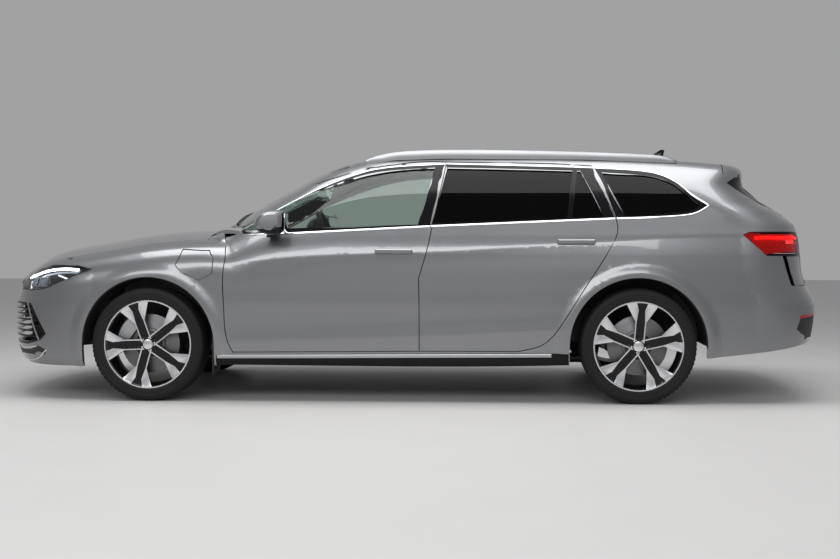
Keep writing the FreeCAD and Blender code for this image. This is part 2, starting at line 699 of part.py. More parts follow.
rear_screen = screen_layer.common(lengthwise_prism(rear_screen_outline, tailgate_x + TAILGATE_DEPTH,
                                                   -CLEARANCE))
keep("tailgate_window", biggest(rear_screen))

# Tail lamps on the body's corners
TAIL_LAMP_SHARES = ((1.538, 0.656), (1.576, 0.668), (2.1, 0.67), (2.1, 0.575), (1.663, 0.576))
tail_lamp_outline = polygon(side_run(*TAIL_LAMP_SHARES))
tail_lamp_zone = across_prism(tail_lamp_outline)
tail_lamps = outer.cut(body_form(2 * PANEL, 2 * PANEL)).common(tail_lamp_zone).cut(gate_opening)
tail_lamps = tail_lamps.common(both_sides(HALF_WIDTH / 2, BODY_WIDTH))
keep("tail_lamps", biggest(tail_lamps, 2))

REAR_BUMPER_SHARES = ((1.32, 0.05), (1.32, 0.43), (1.647, 0.576), (1.75, 0.576), (1.8, 0.46),
                      (2.1, 0.455), (2.1, 0.05))
rear_bumper_outline = polygon(side_run(*REAR_BUMPER_SHARES))
rear_bumper_zone = across_prism(rear_bumper_outline)
bumper_ring = outer.cut(body_form(1.5 * PANEL, PANEL))
rear_bumper = bumper_ring.common(rear_bumper_zone).cut(gate_opening).cut(rear_arch).cut(tail_lamp_zone)
keep("rear_bumper", biggest(rear_bumper))

# Body shell
# Hinge plates and strikers stand out from the door pockets and meet the closed doors.
DOOR_STOP_SHARES = ((0.178, 0.3), (0.178, 0.53), (0.5425, 0.5), (0.578, 0.3), (0.578, 0.53), (0.905, 0.56))
STOP_LENGTH = 26.0
STOP_TALL = 60.0
cabin_ring = outer.cut(cabin)
shell = cabin_ring.cut(front_arch).cut(rear_arch)
cowl_outline = polygon(side_run((-1.2, -0.1), (-1.2, 0.9), (0.09, 0.9), (0.09, 0.66), (0.177, 0.66),
                             (0.177, -0.1)))
shell = shell.cut(across_prism(cowl_outline))
stops = []
for station, height in DOOR_STOP_SHARES:
    stops.append(block(place_x(station), place_x(station) + STOP_LENGTH, -HALF_WIDTH, HALF_WIDTH,
                       height * ROOF_HEIGHT, height * ROOF_HEIGHT + STOP_TALL))
door_stops = Part.makeCompound(stops).common(door_rest)
for outline, arch in ((door_front_outline, False), (door_rear_outline, True)):
    pocket = pocket_ring.common(door_prisms(outline, SHUT_GAP / 2)).cut(door_stops)
    if arch:
        pocket = pocket.cut(rear_arch)
    shell = shell.cut(pocket)
    hole = door_prisms(outline, -PILLAR_LAP).cut(arch_cut(REAR_AXLE, ARCH_RADIUS + PILLAR_LAP))
    shell = shell.cut(hole)
shell = shell.cut(across_prism(quarter_outline).common(side_limit)).cut(sill_zone.cut(body_form(SILL_DEPTH, 0.0)))
shell = shell.cut(gate_opening).cut(rear_bumper_zone).cut(
    tail_lamp_zone.common(both_sides(HALF_WIDTH / 2, BODY_WIDTH)))

shell = shell.cut(screen_opening)
shell = shell.cut(block(place_x(0.2), place_x(1.9), -0.55 * HALF_WIDTH, 0.55 * HALF_WIDTH, -OVERRUN,
                        FLOOR_HEIGHT))
keep("body_shell", biggest(shell))
screen_sheet = top_solid(CLEARANCE).cut(top_solid(2 * GLASS))
windscreen = screen_sheet.common(upright_prism(screen_outline, -CLEARANCE, SCREEN_SLOPE_LOW))
windscreen = windscreen.cut(door_prisms(door_front_outline, SCREEN_PILLAR + CLEARANCE))
keep("windscreen", biggest(windscreen.common(body_form(CLEARANCE, CLEARANCE))))


# Wheels, drawn with the outer face towards -Y


def spun(profile, x, y, z):
    """A ring turned from a profile of (radius, across) points about a crosswise axis."""
    points = [Vector(radius, across, 0) for radius, across in profile]
    face = Part.Face(Part.makePolygon(points + points[:1]))
    ring = face.revolve(Vector(0, 0, 0), Vector(0, 1, 0), 360)
    ring.translate(Vector(x, y, z))
    return ring


def tyre_shape():
    half = TYRE_WIDTH / 2
    bead = RIM_RADIUS + CLEARANCE
    profile = [(bead, -half), (TYRE_RADIUS, -half + TREAD_SHOULDER), (TYRE_RADIUS, half - TREAD_SHOULDER),
               (bead, half)]
    return spun(profile, 0, 0, 0)


# One spoke pair along its own middle line, as shares of the rim radius: (outwards, sideways).
# The ridges run thin and parallel from the hub and widen towards the rim.
RIDGE_SHARES = ((0.09, 0.089), (0.543, 0.093), (0.80, 0.07), (0.985, 0.135), (0.985, 0.29),
                (0.905, 0.34), (0.543, 0.119), (0.09, 0.119))
PLATE_SHARES = ((0.09, 0.10), (0.543, 0.10), (0.90, 0.33), (0.985, 0.27))


def wheel_plate(shares, start, depth):
    """A flat plate across the wheel from an outline of (outwards, sideways) shares."""
    points = [Vector(a * RIM_RADIUS, start, b * RIM_RADIUS) for a, b in shares]
    return Part.Face(Part.makePolygon(points + points[:1])).extrude(Vector(0, depth, 0))


def spoke_pair(face_y):
    """A sunk channel between two ridges that widen towards the rim."""
    other_side = [(a, -b) for a, b in reversed(PLATE_SHARES)]
    channel = wheel_plate(list(PLATE_SHARES) + other_side, face_y + SPOKE_STEP, SPOKE_DEPTH - SPOKE_STEP)
    ridge = wheel_plate(RIDGE_SHARES, face_y, SPOKE_DEPTH)
    return channel.fuse(ridge).fuse(mirrored_up(ridge))


def mirrored_up(shape):
    return shape.mirror(Vector(0, 0, 0), Vector(0, 0, 1))


def rim_shape(turn):
    half = RIM_WIDTH / 2
    face_y = -half + RIM_RECESS
    well = RIM_RADIUS - RIM_WELL
    barrel = spun([(RIM_RADIUS, -half), (RIM_RADIUS, half), (RIM_RADIUS - RIM_WALL, half), (well, 0),
                   (RIM_RADIUS - RIM_WALL, -half)], 0, 0, 0)
    hub = Part.makeCylinder(HUB_RADIUS, HUB_DEPTH - SPOKE_STEP, Vector(0, face_y + SPOKE_STEP, 0),
                            Vector(0, 1, 0))
    cap = Part.makeCylinder(CAP_RADIUS, HUB_DEPTH, Vector(0, face_y, 0), Vector(0, 1, 0))
    reach = Part.makeCylinder(RIM_RADIUS - RIM_WALL / 2, RIM_WIDTH, Vector(0, -half, 0), Vector(0, 1, 0))
    pair = spoke_pair(face_y).common(reach)
    rim = barrel.fuse(hub).fuse(cap)
    for i in range(SPOKE_PAIRS):
        arm = pair.copy()
        arm.rotate(Vector(0, 0, 0), Vector(0, 1, 0), -turn - 360 * i / SPOKE_PAIRS)
        rim = rim.fuse(arm)
    bore = Part.makeCylinder(BORE_RADIUS, RIM_WIDTH, Vector(0, face_y + SPOKE_DEPTH / 2, 0),
                             Vector(0, 1, 0))
    rim = rim.cut(bore)
    for i in range(STUD_COUNT):
        angle = math.radians(turn + 360 * i / STUD_COUNT)
        at = Vector(math.cos(angle), 0, math.sin(angle)) * (STUD_CIRCLE / 2)
        rim = rim.cut(Part.makeCylinder(STUD_HOLE, SPOKE_DEPTH / 2, at + Vector(0, face_y, 0),
                                        Vector(0, 1, 0)))
    return rim


HUB_BACK = -RIM_WIDTH / 2 + RIM_RECESS + HUB_DEPTH


def disc_shape():
    """The brake disc with its hat against the back of the wheel."""
    hat = Part.makeCylinder(DISC_HAT, HAT_DEPTH, Vector(0, HUB_BACK, 0), Vector(0, 1, 0))
    plate = Part.makeCylinder(DISC_RADIUS, DISC_THICKNESS, Vector(0, HUB_BACK + HAT_DEPTH, 0),
                              Vector(0, 1, 0))
    core = Part.makeCylinder(BORE_RADIUS, HAT_DEPTH + OVERRUN, Vector(0, HUB_BACK - RIM_WALL, 0),
                             Vector(0, 1, 0))
    return hat.fuse(plate).cut(core)


CARRIER_FACE = HUB_BACK + HAT_DEPTH + DISC_THICKNESS + DISC_GAP


def carrier_shape():
    """The carrier behind the disc, with its stub axle and ball joint lug."""
    plate = Part.makeCylinder(CARRIER_RADIUS, CARRIER_DEPTH, Vector(0, CARRIER_FACE, 0), Vector(0, 1, 0))
    stub = Part.makeCylinder(BORE_RADIUS - CLEARANCE, CARRIER_FACE - HUB_BACK + HUB_DEPTH / 4,
                             Vector(0, HUB_BACK - HUB_DEPTH / 4, 0), Vector(0, 1, 0))
    lug = block(-BALL_RADIUS, BALL_RADIUS, CARRIER_FACE, CARRIER_FACE + CARRIER_DEPTH, -BALL_DROP, 0)
    return plate.fuse(stub).fuse(lug)


def caliper_shape():
    """A caliper that straddles the disc, with the bridge that carries it."""
    back = CARRIER_FACE + CARRIER_DEPTH
    ring = Part.makeCylinder(DISC_RADIUS + CALIPER_RIM, CALIPER_WIDTH,
                             Vector(0, back - CALIPER_WIDTH, 0), Vector(0, 1, 0))
    sector = block(CALIPER_START, DISC_RADIUS + CALIPER_RIM, -RIM_WIDTH, RIM_WIDTH,
                   -CALIPER_LENGTH / 2, CALIPER_LENGTH / 2)
    groove = Part.makeCylinder(DISC_RADIUS + DISC_GAP, DISC_THICKNESS + 2 * DISC_GAP,
                               Vector(0, CARRIER_FACE - DISC_THICKNESS - 2 * DISC_GAP, 0),
                               Vector(0, 1, 0))
    bridge = block(0, CALIPER_START + DISC_GAP, CARRIER_FACE, back, -BALL_RADIUS, BALL_RADIUS)
    shape = ring.common(sector).cut(groove).fuse(bridge)
    shape.rotate(Vector(0, 0, 0), Vector(0, 1, 0), CALIPER_TURN)
    return shape


# Side outline of a seat, as shares of its length, cushion to back, and of its height
SEAT_SHARES = ((0.0, 0.02), (0.0, 0.15), (0.06, 0.19), (0.46, 0.145), (0.53, 0.19), (0.66, 0.62),
               (0.70, 0.76), (0.735, 0.78), (0.76, 0.80), (0.745, 0.86), (0.77, 0.985), (0.83, 1.0),
               (0.90, 0.98), (0.885, 0.80), (0.90, 0.76), (0.88, 0.66), (0.74, 0.14), (0.68, 0.0))
SEAT_REACH = 730.0


def seat(x, y, base, width):
    """A seat's cushion, back and head rest, drawn from the side and carried across."""
    points = [Vector(x + a * SEAT_REACH, y - width / 2, base + b * SEAT_HEIGHT) for a, b in SEAT_SHARES]
    return Part.Face(Part.makePolygon(points + points[:1])).extrude(Vector(0, width, 0))


tyre = tyre_shape()
disc = disc_shape()
carrier = carrier_shape()
knuckle = carrier.fuse(caliper_shape())
for end, axle, turn in (("front", FRONT_AXLE, FRONT_TURN), ("rear", REAR_AXLE, REAR_TURN)):
    rim = rim_shape(turn)
    for side, hand in (("left", -1), ("right", 1)):
        for kind, shape in (("tyre", tyre), ("rim", rim), ("brake_disc", disc)):
            piece = shape.copy() if hand < 0 else mirrored(shape)
            piece.translate(Vector(axle, hand * HALF_TRACK, AXLE_HEIGHT))
            keep("_".join((kind, end, side)), piece)
        if end == "front":
            piece = knuckle.copy() if hand < 0 else mirrored(knuckle)
            piece.translate(Vector(axle, hand * HALF_TRACK, AXLE_HEIGHT))
            keep("front_knuckle_" + side, piece)


# Floor, bulkhead and load floor inside the body sides
BULKHEAD = 0.15
LOAD_START = 0.84
REAR_PANEL_SHARE = 0.6
STRIKER_SHARES = (0.44, 0.5)
cabin_fill = body_form(lambda z: cabin_inset(z) + CLEARANCE, ROOF_PANEL + 2 * CLEARANCE)
bulkhead_x = place_x(BULKHEAD)
load_x = place_x(LOAD_START)
gate_back = TAIL_X - 3 * TAILGATE_DEPTH
arch_span = both_sides(LINER_INNER, BODY_WIDTH)
slab = block(bulkhead_x, load_x, -HALF_WIDTH, HALF_WIDTH, FLOOR_HEIGHT, FLOOR_HEIGHT + FLOOR_PANEL)
riser = block(load_x - FLOOR_PANEL, load_x, -HALF_WIDTH, HALF_WIDTH, FLOOR_HEIGHT, LOAD_FLOOR_HEIGHT)
load_floor = block(load_x - FLOOR_PANEL, gate_back, -HALF_WIDTH, HALF_WIDTH,
                   LOAD_FLOOR_HEIGHT - FLOOR_PANEL, LOAD_FLOOR_HEIGHT)
bulkhead = block(bulkhead_x, bulkhead_x + FLOOR_PANEL, -HALF_WIDTH, HALF_WIDTH, FLOOR_HEIGHT,
                 0.64 * ROOF_HEIGHT)
rear_panel = block(gate_back - FLOOR_PANEL, gate_back, -REAR_PANEL_SHARE * HALF_WIDTH,
                   REAR_PANEL_SHARE * HALF_WIDTH, LOAD_FLOOR_HEIGHT - FLOOR_PANEL,
                   STRIKER_SHARES[0] * ROOF_HEIGHT)
striker_heights = [share * ROOF_HEIGHT for share in STRIKER_SHARES]
striker_start = gate_back - FLOOR_PANEL
striker_ends = [TAIL_X - tail_setback(z) - TAILGATE_DEPTH - CLEARANCE for z in striker_heights]
striker_points = [Vector(striker_start, -STOP_TALL / 2, striker_heights[0]),
                  Vector(striker_ends[0], -STOP_TALL / 2, striker_heights[0]),
                  Vector(striker_ends[1], -STOP_TALL / 2, striker_heights[1]),
                  Vector(striker_start, -STOP_TALL / 2, striker_heights[1])]
striker_face = Part.Face(Part.makePolygon(striker_points + striker_points[:1]))
striker = striker_face.extrude(Vector(0, STOP_TALL, 0))
floor = slab.fuse(riser).fuse(load_floor).fuse(bulkhead).fuse(rear_panel).common(cabin_fill).fuse(striker)
floor = floor.cut(arch_cut(REAR_AXLE, ARCH_RADIUS + CLEARANCE).common(arch_span))

# Flat jacking pads under the floor, beside the sills
JACK_STATIONS = (0.2, 0.8)
JACK_ACROSS_SHARE = 0.78
JACK_PAD_LENGTH = 110.0
JACK_PAD_WIDTH = 60.0
JACK_PAD_DEPTH = 12.0
jack_middle = JACK_ACROSS_SHARE * HALF_WIDTH
for station in JACK_STATIONS:
    for middle in (-jack_middle, jack_middle):
        pad = block(place_x(station) - JACK_PAD_LENGTH / 2, place_x(station) + JACK_PAD_LENGTH / 2,
                    middle - JACK_PAD_WIDTH / 2, middle + JACK_PAD_WIDTH / 2,
                    FLOOR_HEIGHT - JACK_PAD_DEPTH, FLOOR_HEIGHT + FLOOR_PANEL / 2)
        floor = floor.fuse(pad)
keep("floor_pan", biggest(floor))


def liner(axle, inner, low, closed):
    """Half a drum over the wheel, ending short of the outer skin."""
    reach = HALF_WIDTH - LINER_END
    drum = Part.makeCylinder(ARCH_RADIUS, reach - inner, Vector(axle, inner, AXLE_HEIGHT), Vector(0, 1, 0))
    hollow = Part.makeCylinder(ARCH_RADIUS - ARCH_LINER, reach, Vector(axle, inner + (ARCH_LINER if closed else -ARCH_LINER),
                                                                       AXLE_HEIGHT), Vector(0, 1, 0))
    half = block(axle - ARCH_RADIUS, axle + ARCH_RADIUS, 0, HALF_WIDTH, low, ROOF_HEIGHT)
    return drum.cut(hollow).common(half)


liners = []
for axle, inner, low, closed in ((FRONT_AXLE, LINER_INNER, AXLE_HEIGHT, False),
                                 (REAR_AXLE, LINER_INNER, AXLE_HEIGHT, True)):
    shape = liner(axle, inner, low, closed)
    liners.extend([shape, mirrored(shape)])
keep("arch_liners", Part.makeCompound(liners))

# Front structure
SUPPORT_SHARES = (0.18, 0.42)
structure_front = NOSE_X + 0.14 * FRONT_OVERHANG
support = block(structure_front, structure_front + FLOOR_PANEL, -RAIL_INNER - RAIL_WIDTH,
                RAIL_INNER + RAIL_WIDTH, SUPPORT_SHARES[0] * ROOF_HEIGHT, SUPPORT_SHARES[1] * ROOF_HEIGHT)
structure = support
for hand in (-1, 1):
    y0 = hand * RAIL_INNER
    y1 = hand * (RAIL_INNER + RAIL_WIDTH)
    structure = structure.fuse(block(structure_front, bulkhead_x - CLEARANCE, min(y0, y1), max(y0, y1),
                                     RAIL_LOW, RAIL_LOW + RAIL_TALL))
buffer = block(structure_front, structure_front + 2 * FLOOR_PANEL, RAIL_INNER - RAIL_WIDTH, RAIL_INNER,
               SUPPORT_SHARES[1] * ROOF_HEIGHT - FLOOR_PANEL, ROOF_HEIGHT)
buffer = buffer.common(body_form(PANEL + CLEARANCE, ROOF_PANEL + CLEARANCE))
structure = structure.fuse(buffer).fuse(mirrored(buffer))
keep("front_rails", structure)
engine_x = FRONT_AXLE - ENGINE_LENGTH / 2
engine_low = ARM_LOW + 3 * ARM_THICK + CLEARANCE
keep("engine", block(engine_x, engine_x + ENGINE_LENGTH, -ENGINE_WIDTH / 2, ENGINE_WIDTH / 2, engine_low,
                     engine_low + ENGINE_TALL))
inner_face = HALF_TRACK - CARRIER_FACE
arms = block(FRONT_AXLE - ARM_WIDTH, FRONT_AXLE + ARM_WIDTH, -RAIL_INNER, RAIL_INNER, ARM_LOW,
             ARM_LOW + 3 * ARM_THICK)
for hand in (-1, 1):
    near = hand * (RAIL_INNER - OVERRUN)
    far = hand * (inner_face - CARRIER_DEPTH / 2)
    arms = arms.fuse(block(FRONT_AXLE - ARM_WIDTH / 2, FRONT_AXLE + ARM_WIDTH / 2, min(near, far),
                           max(near, far), ARM_LOW, AXLE_HEIGHT - BALL_DROP - CLEARANCE))
    inside = hand * (RAIL_INNER - ARM_THICK)
    outside = hand * (RAIL_INNER + RAIL_WIDTH)
    arms = arms.fuse(block(FRONT_AXLE - ARM_WIDTH, FRONT_AXLE + ARM_WIDTH, min(inside, outside),
                           max(inside, outside), ARM_LOW + ARM_THICK, RAIL_LOW - CLEARANCE))
keep("front_subframe", arms)

rear = block(REAR_AXLE - 2 * ARM_WIDTH, REAR_AXLE + 2 * ARM_WIDTH, -RAIL_INNER, RAIL_INNER,
             AXLE_HEIGHT - ARM_WIDTH, AXLE_HEIGHT + ARM_WIDTH)
for hand in (-1, 1):
    piece = carrier.copy() if hand < 0 else mirrored(carrier)
    piece.translate(Vector(REAR_AXLE, hand * HALF_TRACK, AXLE_HEIGHT))
    near = hand * (RAIL_INNER - OVERRUN)
    far = hand * (inner_face - CARRIER_DEPTH / 2)
    rear = rear.fuse(piece)
    for lift in (-BALL_DROP + ARM_THICK, 0):
        rear = rear.fuse(block(REAR_AXLE - ARM_WIDTH / 2, REAR_AXLE + ARM_WIDTH / 2, min(near, far),
                               max(near, far), AXLE_HEIGHT + lift - ARM_THICK, AXLE_HEIGHT + lift))
    post = hand * (RAIL_INNER - RAIL_WIDTH)
    rear = rear.fuse(block(REAR_AXLE - ARM_WIDTH, REAR_AXLE + ARM_WIDTH, min(near, post), max(near, post),
                           AXLE_HEIGHT, LOAD_FLOOR_HEIGHT - FLOOR_PANEL - CLEARANCE))
keep("rear_axle", biggest(rear))
exhaust_low = FLOOR_HEIGHT - EXHAUST_RADIUS - CLEARANCE
keep("exhaust", Part.makeCylinder(EXHAUST_RADIUS, REAR_AXLE - FRONT_AXLE - 5 * ARM_WIDTH,
                                  Vector(FRONT_AXLE + 2 * ARM_WIDTH, 0, exhaust_low), Vector(1, 0, 0)))

# Cabin furniture
floor_top = FLOOR_HEIGHT + FLOOR_PANEL
front_seat_x = place_x(0.385)
rear_seat_x = place_x(0.66)
bases = []
for hand in (-1, 1):
    y = hand * SEAT_SPACING / 2
    bases.append(seat(front_seat_x, y, floor_top + SEAT_RISE, SEAT_WIDTH))
keep("front_seats", Part.makeCompound(bases))
tracks = []
for hand in (-1, 1):
    y = hand * SEAT_SPACING / 2
    tracks.append(block(front_seat_x, front_seat_x + SEAT_LENGTH, y - SEAT_WIDTH / 3, y + SEAT_WIDTH / 3,
                        floor_top, floor_top + SEAT_RISE - CLEARANCE))
keep("seat_bases", Part.makeCompound(tracks))
bench = seat(rear_seat_x, 0, floor_top + BENCH_RISE, REAR_BENCH_WIDTH)
plinth = block(rear_seat_x, rear_seat_x + SEAT_LENGTH, -REAR_BENCH_WIDTH / 2, REAR_BENCH_WIDTH / 2,
               floor_top + CLEARANCE, floor_top + BENCH_RISE + SEAT_PAD / 3)
bench = bench.fuse(plinth)
bench = bench.cut(block(load_x - FLOOR_PANEL - CLEARANCE, TAIL_X, -HALF_WIDTH, HALF_WIDTH, 0,
                        LOAD_FLOOR_HEIGHT + CLEARANCE))
keep("rear_seat", biggest(bench))
dash_x = bulkhead_x + FLOOR_PANEL + CLEARANCE
DASH_SHARES = (0.33, 0.81, 0.44, 0.655)
CONSOLE_SHARES = (0.27, 0.5, 0.39)
CONSOLE_WIDTH = 200.0
dash = block(dash_x, place_x(DASH_SHARES[0]), -DASH_SHARES[1] * HALF_WIDTH, DASH_SHARES[1] * HALF_WIDTH,
             DASH_SHARES[2] * ROOF_HEIGHT, DASH_SHARES[3] * ROOF_HEIGHT)
console = block(dash_x, place_x(CONSOLE_SHARES[1]), -CONSOLE_WIDTH / 2, CONSOLE_WIDTH / 2,
                floor_top + CLEARANCE, CONSOLE_SHARES[2] * ROOF_HEIGHT)
stem = block(dash_x, place_x(CONSOLE_SHARES[0]), -CONSOLE_WIDTH / 2, CONSOLE_WIDTH / 2,
             floor_top + CLEARANCE, DASH_SHARES[3] * ROOF_HEIGHT - PANEL)
dashboard = dash.common(cabin_fill).fuse(console).fuse(stem)
keep("dashboard", biggest(dashboard))
RING_SECTION_SHARES = ((1.0, 0.0), (0.5, 0.87), (-0.5, 0.87), (-1.0, 0.0), (-0.5, -0.87), (0.5, -0.87))
wheel_hub = Vector(place_x(0.355), -SEAT_SPACING / 2, 0.64 * ROOF_HEIGHT)
ring_points = [Vector(WHEEL_RING_RADIUS + a * WHEEL_RING_TUBE, 0, b * WHEEL_RING_TUBE)
               for a, b in RING_SECTION_SHARES]
ring_face = Part.Face(Part.makePolygon(ring_points + ring_points[:1]))
ring = ring_face.revolve(Vector(0, 0, 0), Vector(0, 0, 1), 360)
pad = Part.makeCylinder(WHEEL_RING_RADIUS / 3, 2 * WHEEL_RING_TUBE, Vector(0, 0, -WHEEL_RING_TUBE))
bar = block(-WHEEL_RING_TUBE / 2, WHEEL_RING_TUBE / 2, -WHEEL_RING_RADIUS, WHEEL_RING_RADIUS,
            -WHEEL_RING_TUBE / 2, WHEEL_RING_TUBE / 2)
column = Part.makeCylinder(COLUMN_RADIUS, WHEEL_RING_RADIUS, Vector(0, 0, -WHEEL_RING_RADIUS))
steering_wheel = ring.fuse(pad).fuse(bar).fuse(column)
steering_wheel.rotate(Vector(0, 0, 0), Vector(0, 1, 0), 90 - WHEEL_RING_TILT)
steering_wheel.translate(wheel_hub)
keep("steering_wheel", biggest(steering_wheel.cut(nodes["dashboard"])))

# Roof rails and fin
RAIL_SHARES = ((0.439, 0.963), (0.485, 0.99), (0.534, 1.0), (0.617, 1.004), (0.778, 1.0), (0.89, 0.994),
               (1.052, 0.983), (1.2, 0.966), (1.234, 0.955))
rail_top = side_run(*RAIL_SHARES)
rail_low = [(x, z - RAIL_RISE * 2) for x, z in reversed(rail_top)]
rail_band = across_prism(closed_runs(rail_top, rail_low)).common(both_sides(0.6 * HALF_WIDTH,
                                                                           0.6 * HALF_WIDTH + RAIL_THICK))
rails = rail_band.cut(outer)
keep("roof_rails", biggest(rails, 2))
# The fin's side outline, as shares of its length and height, leaning back over the roof.
FIN_SHARES = ((0.0, 0.0), (0.45, 0.55), (0.86, 1.0), (1.0, 0.97), (0.93, 0.4), (0.96, 0.0))
FIN_START = 1.085
FIN_SINK = 20.0
fin_x = place_x(FIN_START)
fin_base = centre_line(fin_x + FIN_LENGTH) - FIN_SINK
fin_points = [Vector(fin_x + a * FIN_LENGTH, -FIN_WIDTH / 2, fin_base + b * (FIN_TALL + FIN_SINK))
              for a, b in FIN_SHARES]
fin_face = Part.Face(Part.makePolygon(fin_points + fin_points[:1]))
fin = fin_face.extrude(Vector(0, FIN_WIDTH, 0))
keep("roof_fin", biggest(fin.cut(outer.translated(Vector(0, 0, CLEARANCE)))))

# Mirrors on the front doors
# Side outline of the housing at its full size, as shares of its length and height.
MIRROR_SHARES = ((0.0, 0.42), (0.10, 0.72), (0.34, 0.93), (0.72, 1.0), (0.97, 0.93), (1.0, 0.55),
                 (0.93, 0.14), (0.62, 0.0), (0.22, 0.10))
# Sections out along the mirror, as (outwards, size) shares
MIRROR_SECTION_SHARES = ((0.0, 0.74), (0.3, 0.95), (0.7, 1.0), (0.92, 0.86), (1.0, 0.62))
mirror_x = place_x(MIRROR_PLACE_SHARES[0])
mirror_z = MIRROR_PLACE_SHARES[1] * ROOF_HEIGHT
door_skin_y = half_width(mirror_x, mirror_z)


def mirror_section(out_share, size_share):
    centre = (0.5, 0.5)
    y = door_skin_y + MIRROR_STEM + out_share * MIRROR_WIDTH
    points = []
    for a, b in MIRROR_SHARES:
        points.append(Vector(mirror_x + (centre[0] + (a - centre[0]) * size_share) * MIRROR_LENGTH, y,
                             mirror_z + (centre[1] + (b - centre[1]) * size_share) * MIRROR_TALL))
    curve = Part.BSplineCurve()
    curve.interpolate(Points=points, PeriodicFlag=True)
    return Part.Wire([curve.toShape()])


housing = Part.makeLoft([mirror_section(a, b) for a, b in MIRROR_SECTION_SHARES], True, True)
foot_x = mirror_x + MIRROR_LENGTH / 2
foot = block(foot_x - MIRROR_STEM, foot_x + MIRROR_STEM, HALF_WIDTH / 2, door_skin_y + 2 * MIRROR_STEM,
             mirror_z - MIRROR_STEM / 2, mirror_z + MIRROR_STEM)
mirror = housing.fuse(foot).cut(outer.translated(Vector(0, CLEARANCE, 0)))
keep("mirror_right", biggest(mirror))
keep("mirror_left", mirrored(nodes["mirror_right"]))

# Cowl panel at the foot of the windscreen
COWL_SHARES = (0.575, 0.605)
COWL_START = 0.09
COWL_SPREAD = 0.7
cowl = block(place_x(COWL_START), bulkhead_x - CLEARANCE, -COWL_SPREAD * HALF_WIDTH,
             COWL_SPREAD * HALF_WIDTH, COWL_SHARES[0] * ROOF_HEIGHT, COWL_SHARES[1] * ROOF_HEIGHT)
keep("cowl_panel", cowl.cut(nodes["floor_pan"]).Solids[0])

# Sill covers
sill_layer = wall_solid(0.0).cut(wall_solid(SILL_DEPTH)).cut(underneath)
sills = sill_layer.common(sill_zone).common(side_limit).cut(rear_arch).cut(front_arch)
keep("sill_covers", biggest(sills, 2))


def report():
    for name, shape in nodes.items():
        box = shape.BoundBox
        print("%-20s solids %d valid %s volume %.2f dm3 x %.0f..%.0f y %.0f..%.0f z %.0f..%.0f" % (
            name, len(shape.Solids), shape.isValid(), shape.Volume / 1e6, box.XMin, box.XMax,
            box.YMin, box.YMax, box.ZMin, box.ZMax))


report()
for name, shape in nodes.items():
    shape.exportStep("parts/" + name + ".step")
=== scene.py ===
"""Looks of a five-door estate car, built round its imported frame.

+X runs to the tail, +Y to the car's right and +Z up. Lengths are in metres.
"""

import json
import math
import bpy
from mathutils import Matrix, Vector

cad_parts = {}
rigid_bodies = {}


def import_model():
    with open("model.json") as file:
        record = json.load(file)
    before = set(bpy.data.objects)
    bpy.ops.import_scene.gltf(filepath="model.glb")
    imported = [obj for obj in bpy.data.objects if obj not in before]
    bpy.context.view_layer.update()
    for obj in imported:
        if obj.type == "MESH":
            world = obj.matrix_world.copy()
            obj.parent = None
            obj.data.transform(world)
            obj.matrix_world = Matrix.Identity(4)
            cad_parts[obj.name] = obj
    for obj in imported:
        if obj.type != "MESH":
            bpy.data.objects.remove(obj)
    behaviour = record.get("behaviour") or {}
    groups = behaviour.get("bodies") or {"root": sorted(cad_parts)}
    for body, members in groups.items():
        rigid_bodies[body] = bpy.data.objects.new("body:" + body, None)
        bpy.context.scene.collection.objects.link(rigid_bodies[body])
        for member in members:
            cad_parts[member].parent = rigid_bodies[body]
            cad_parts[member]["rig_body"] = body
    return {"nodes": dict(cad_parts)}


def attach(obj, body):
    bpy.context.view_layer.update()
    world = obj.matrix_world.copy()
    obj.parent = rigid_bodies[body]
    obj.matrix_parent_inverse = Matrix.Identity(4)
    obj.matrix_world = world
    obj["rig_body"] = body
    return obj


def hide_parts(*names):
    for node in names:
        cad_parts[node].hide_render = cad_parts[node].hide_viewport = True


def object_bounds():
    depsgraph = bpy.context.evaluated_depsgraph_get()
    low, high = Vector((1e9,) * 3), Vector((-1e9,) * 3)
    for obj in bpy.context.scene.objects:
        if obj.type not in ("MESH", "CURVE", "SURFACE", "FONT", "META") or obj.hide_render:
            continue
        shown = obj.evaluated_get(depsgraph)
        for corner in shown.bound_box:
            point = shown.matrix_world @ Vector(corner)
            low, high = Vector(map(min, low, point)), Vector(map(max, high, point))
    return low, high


bl_info = {
    "name": "Estate car dressing",
    "version": (1, 0, 0),
    "blender": (4, 5, 0),
    "location": "View3D > Sidebar > Estate car",
    "description": "Paint, glass, lamps, wheels and cabin of an estate car",
    "category": "Object",
}

import bmesh
import bpy
import numpy as np
from mathutils import Vector
from mathutils.geometry import delaunay_2d_cdt

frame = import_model()
CAD_BOX = [list(corner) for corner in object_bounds()]

MM = 0.001
NOSE_X = CAD_BOX[0][0]
TAIL_X = CAD_BOX[1][0]

# Driving dimensions, the same as the frame's own
ROOF_HEIGHT = 1475 * MM
BODY_WIDTH = 1849 * MM
HALF_WIDTH = BODY_WIDTH / 2
WHEELBASE = 2841 * MM
FRONT_OVERHANG = 980 * MM
FRONT_AXLE = NOSE_X + FRONT_OVERHANG
REAR_AXLE = FRONT_AXLE + WHEELBASE
REAR_OVERHANG = TAIL_X - REAR_AXLE
TYRE_RADIUS = 332 * MM
ARCH_RADIUS = 393 * MM
HALF_TRACK = 800 * MM

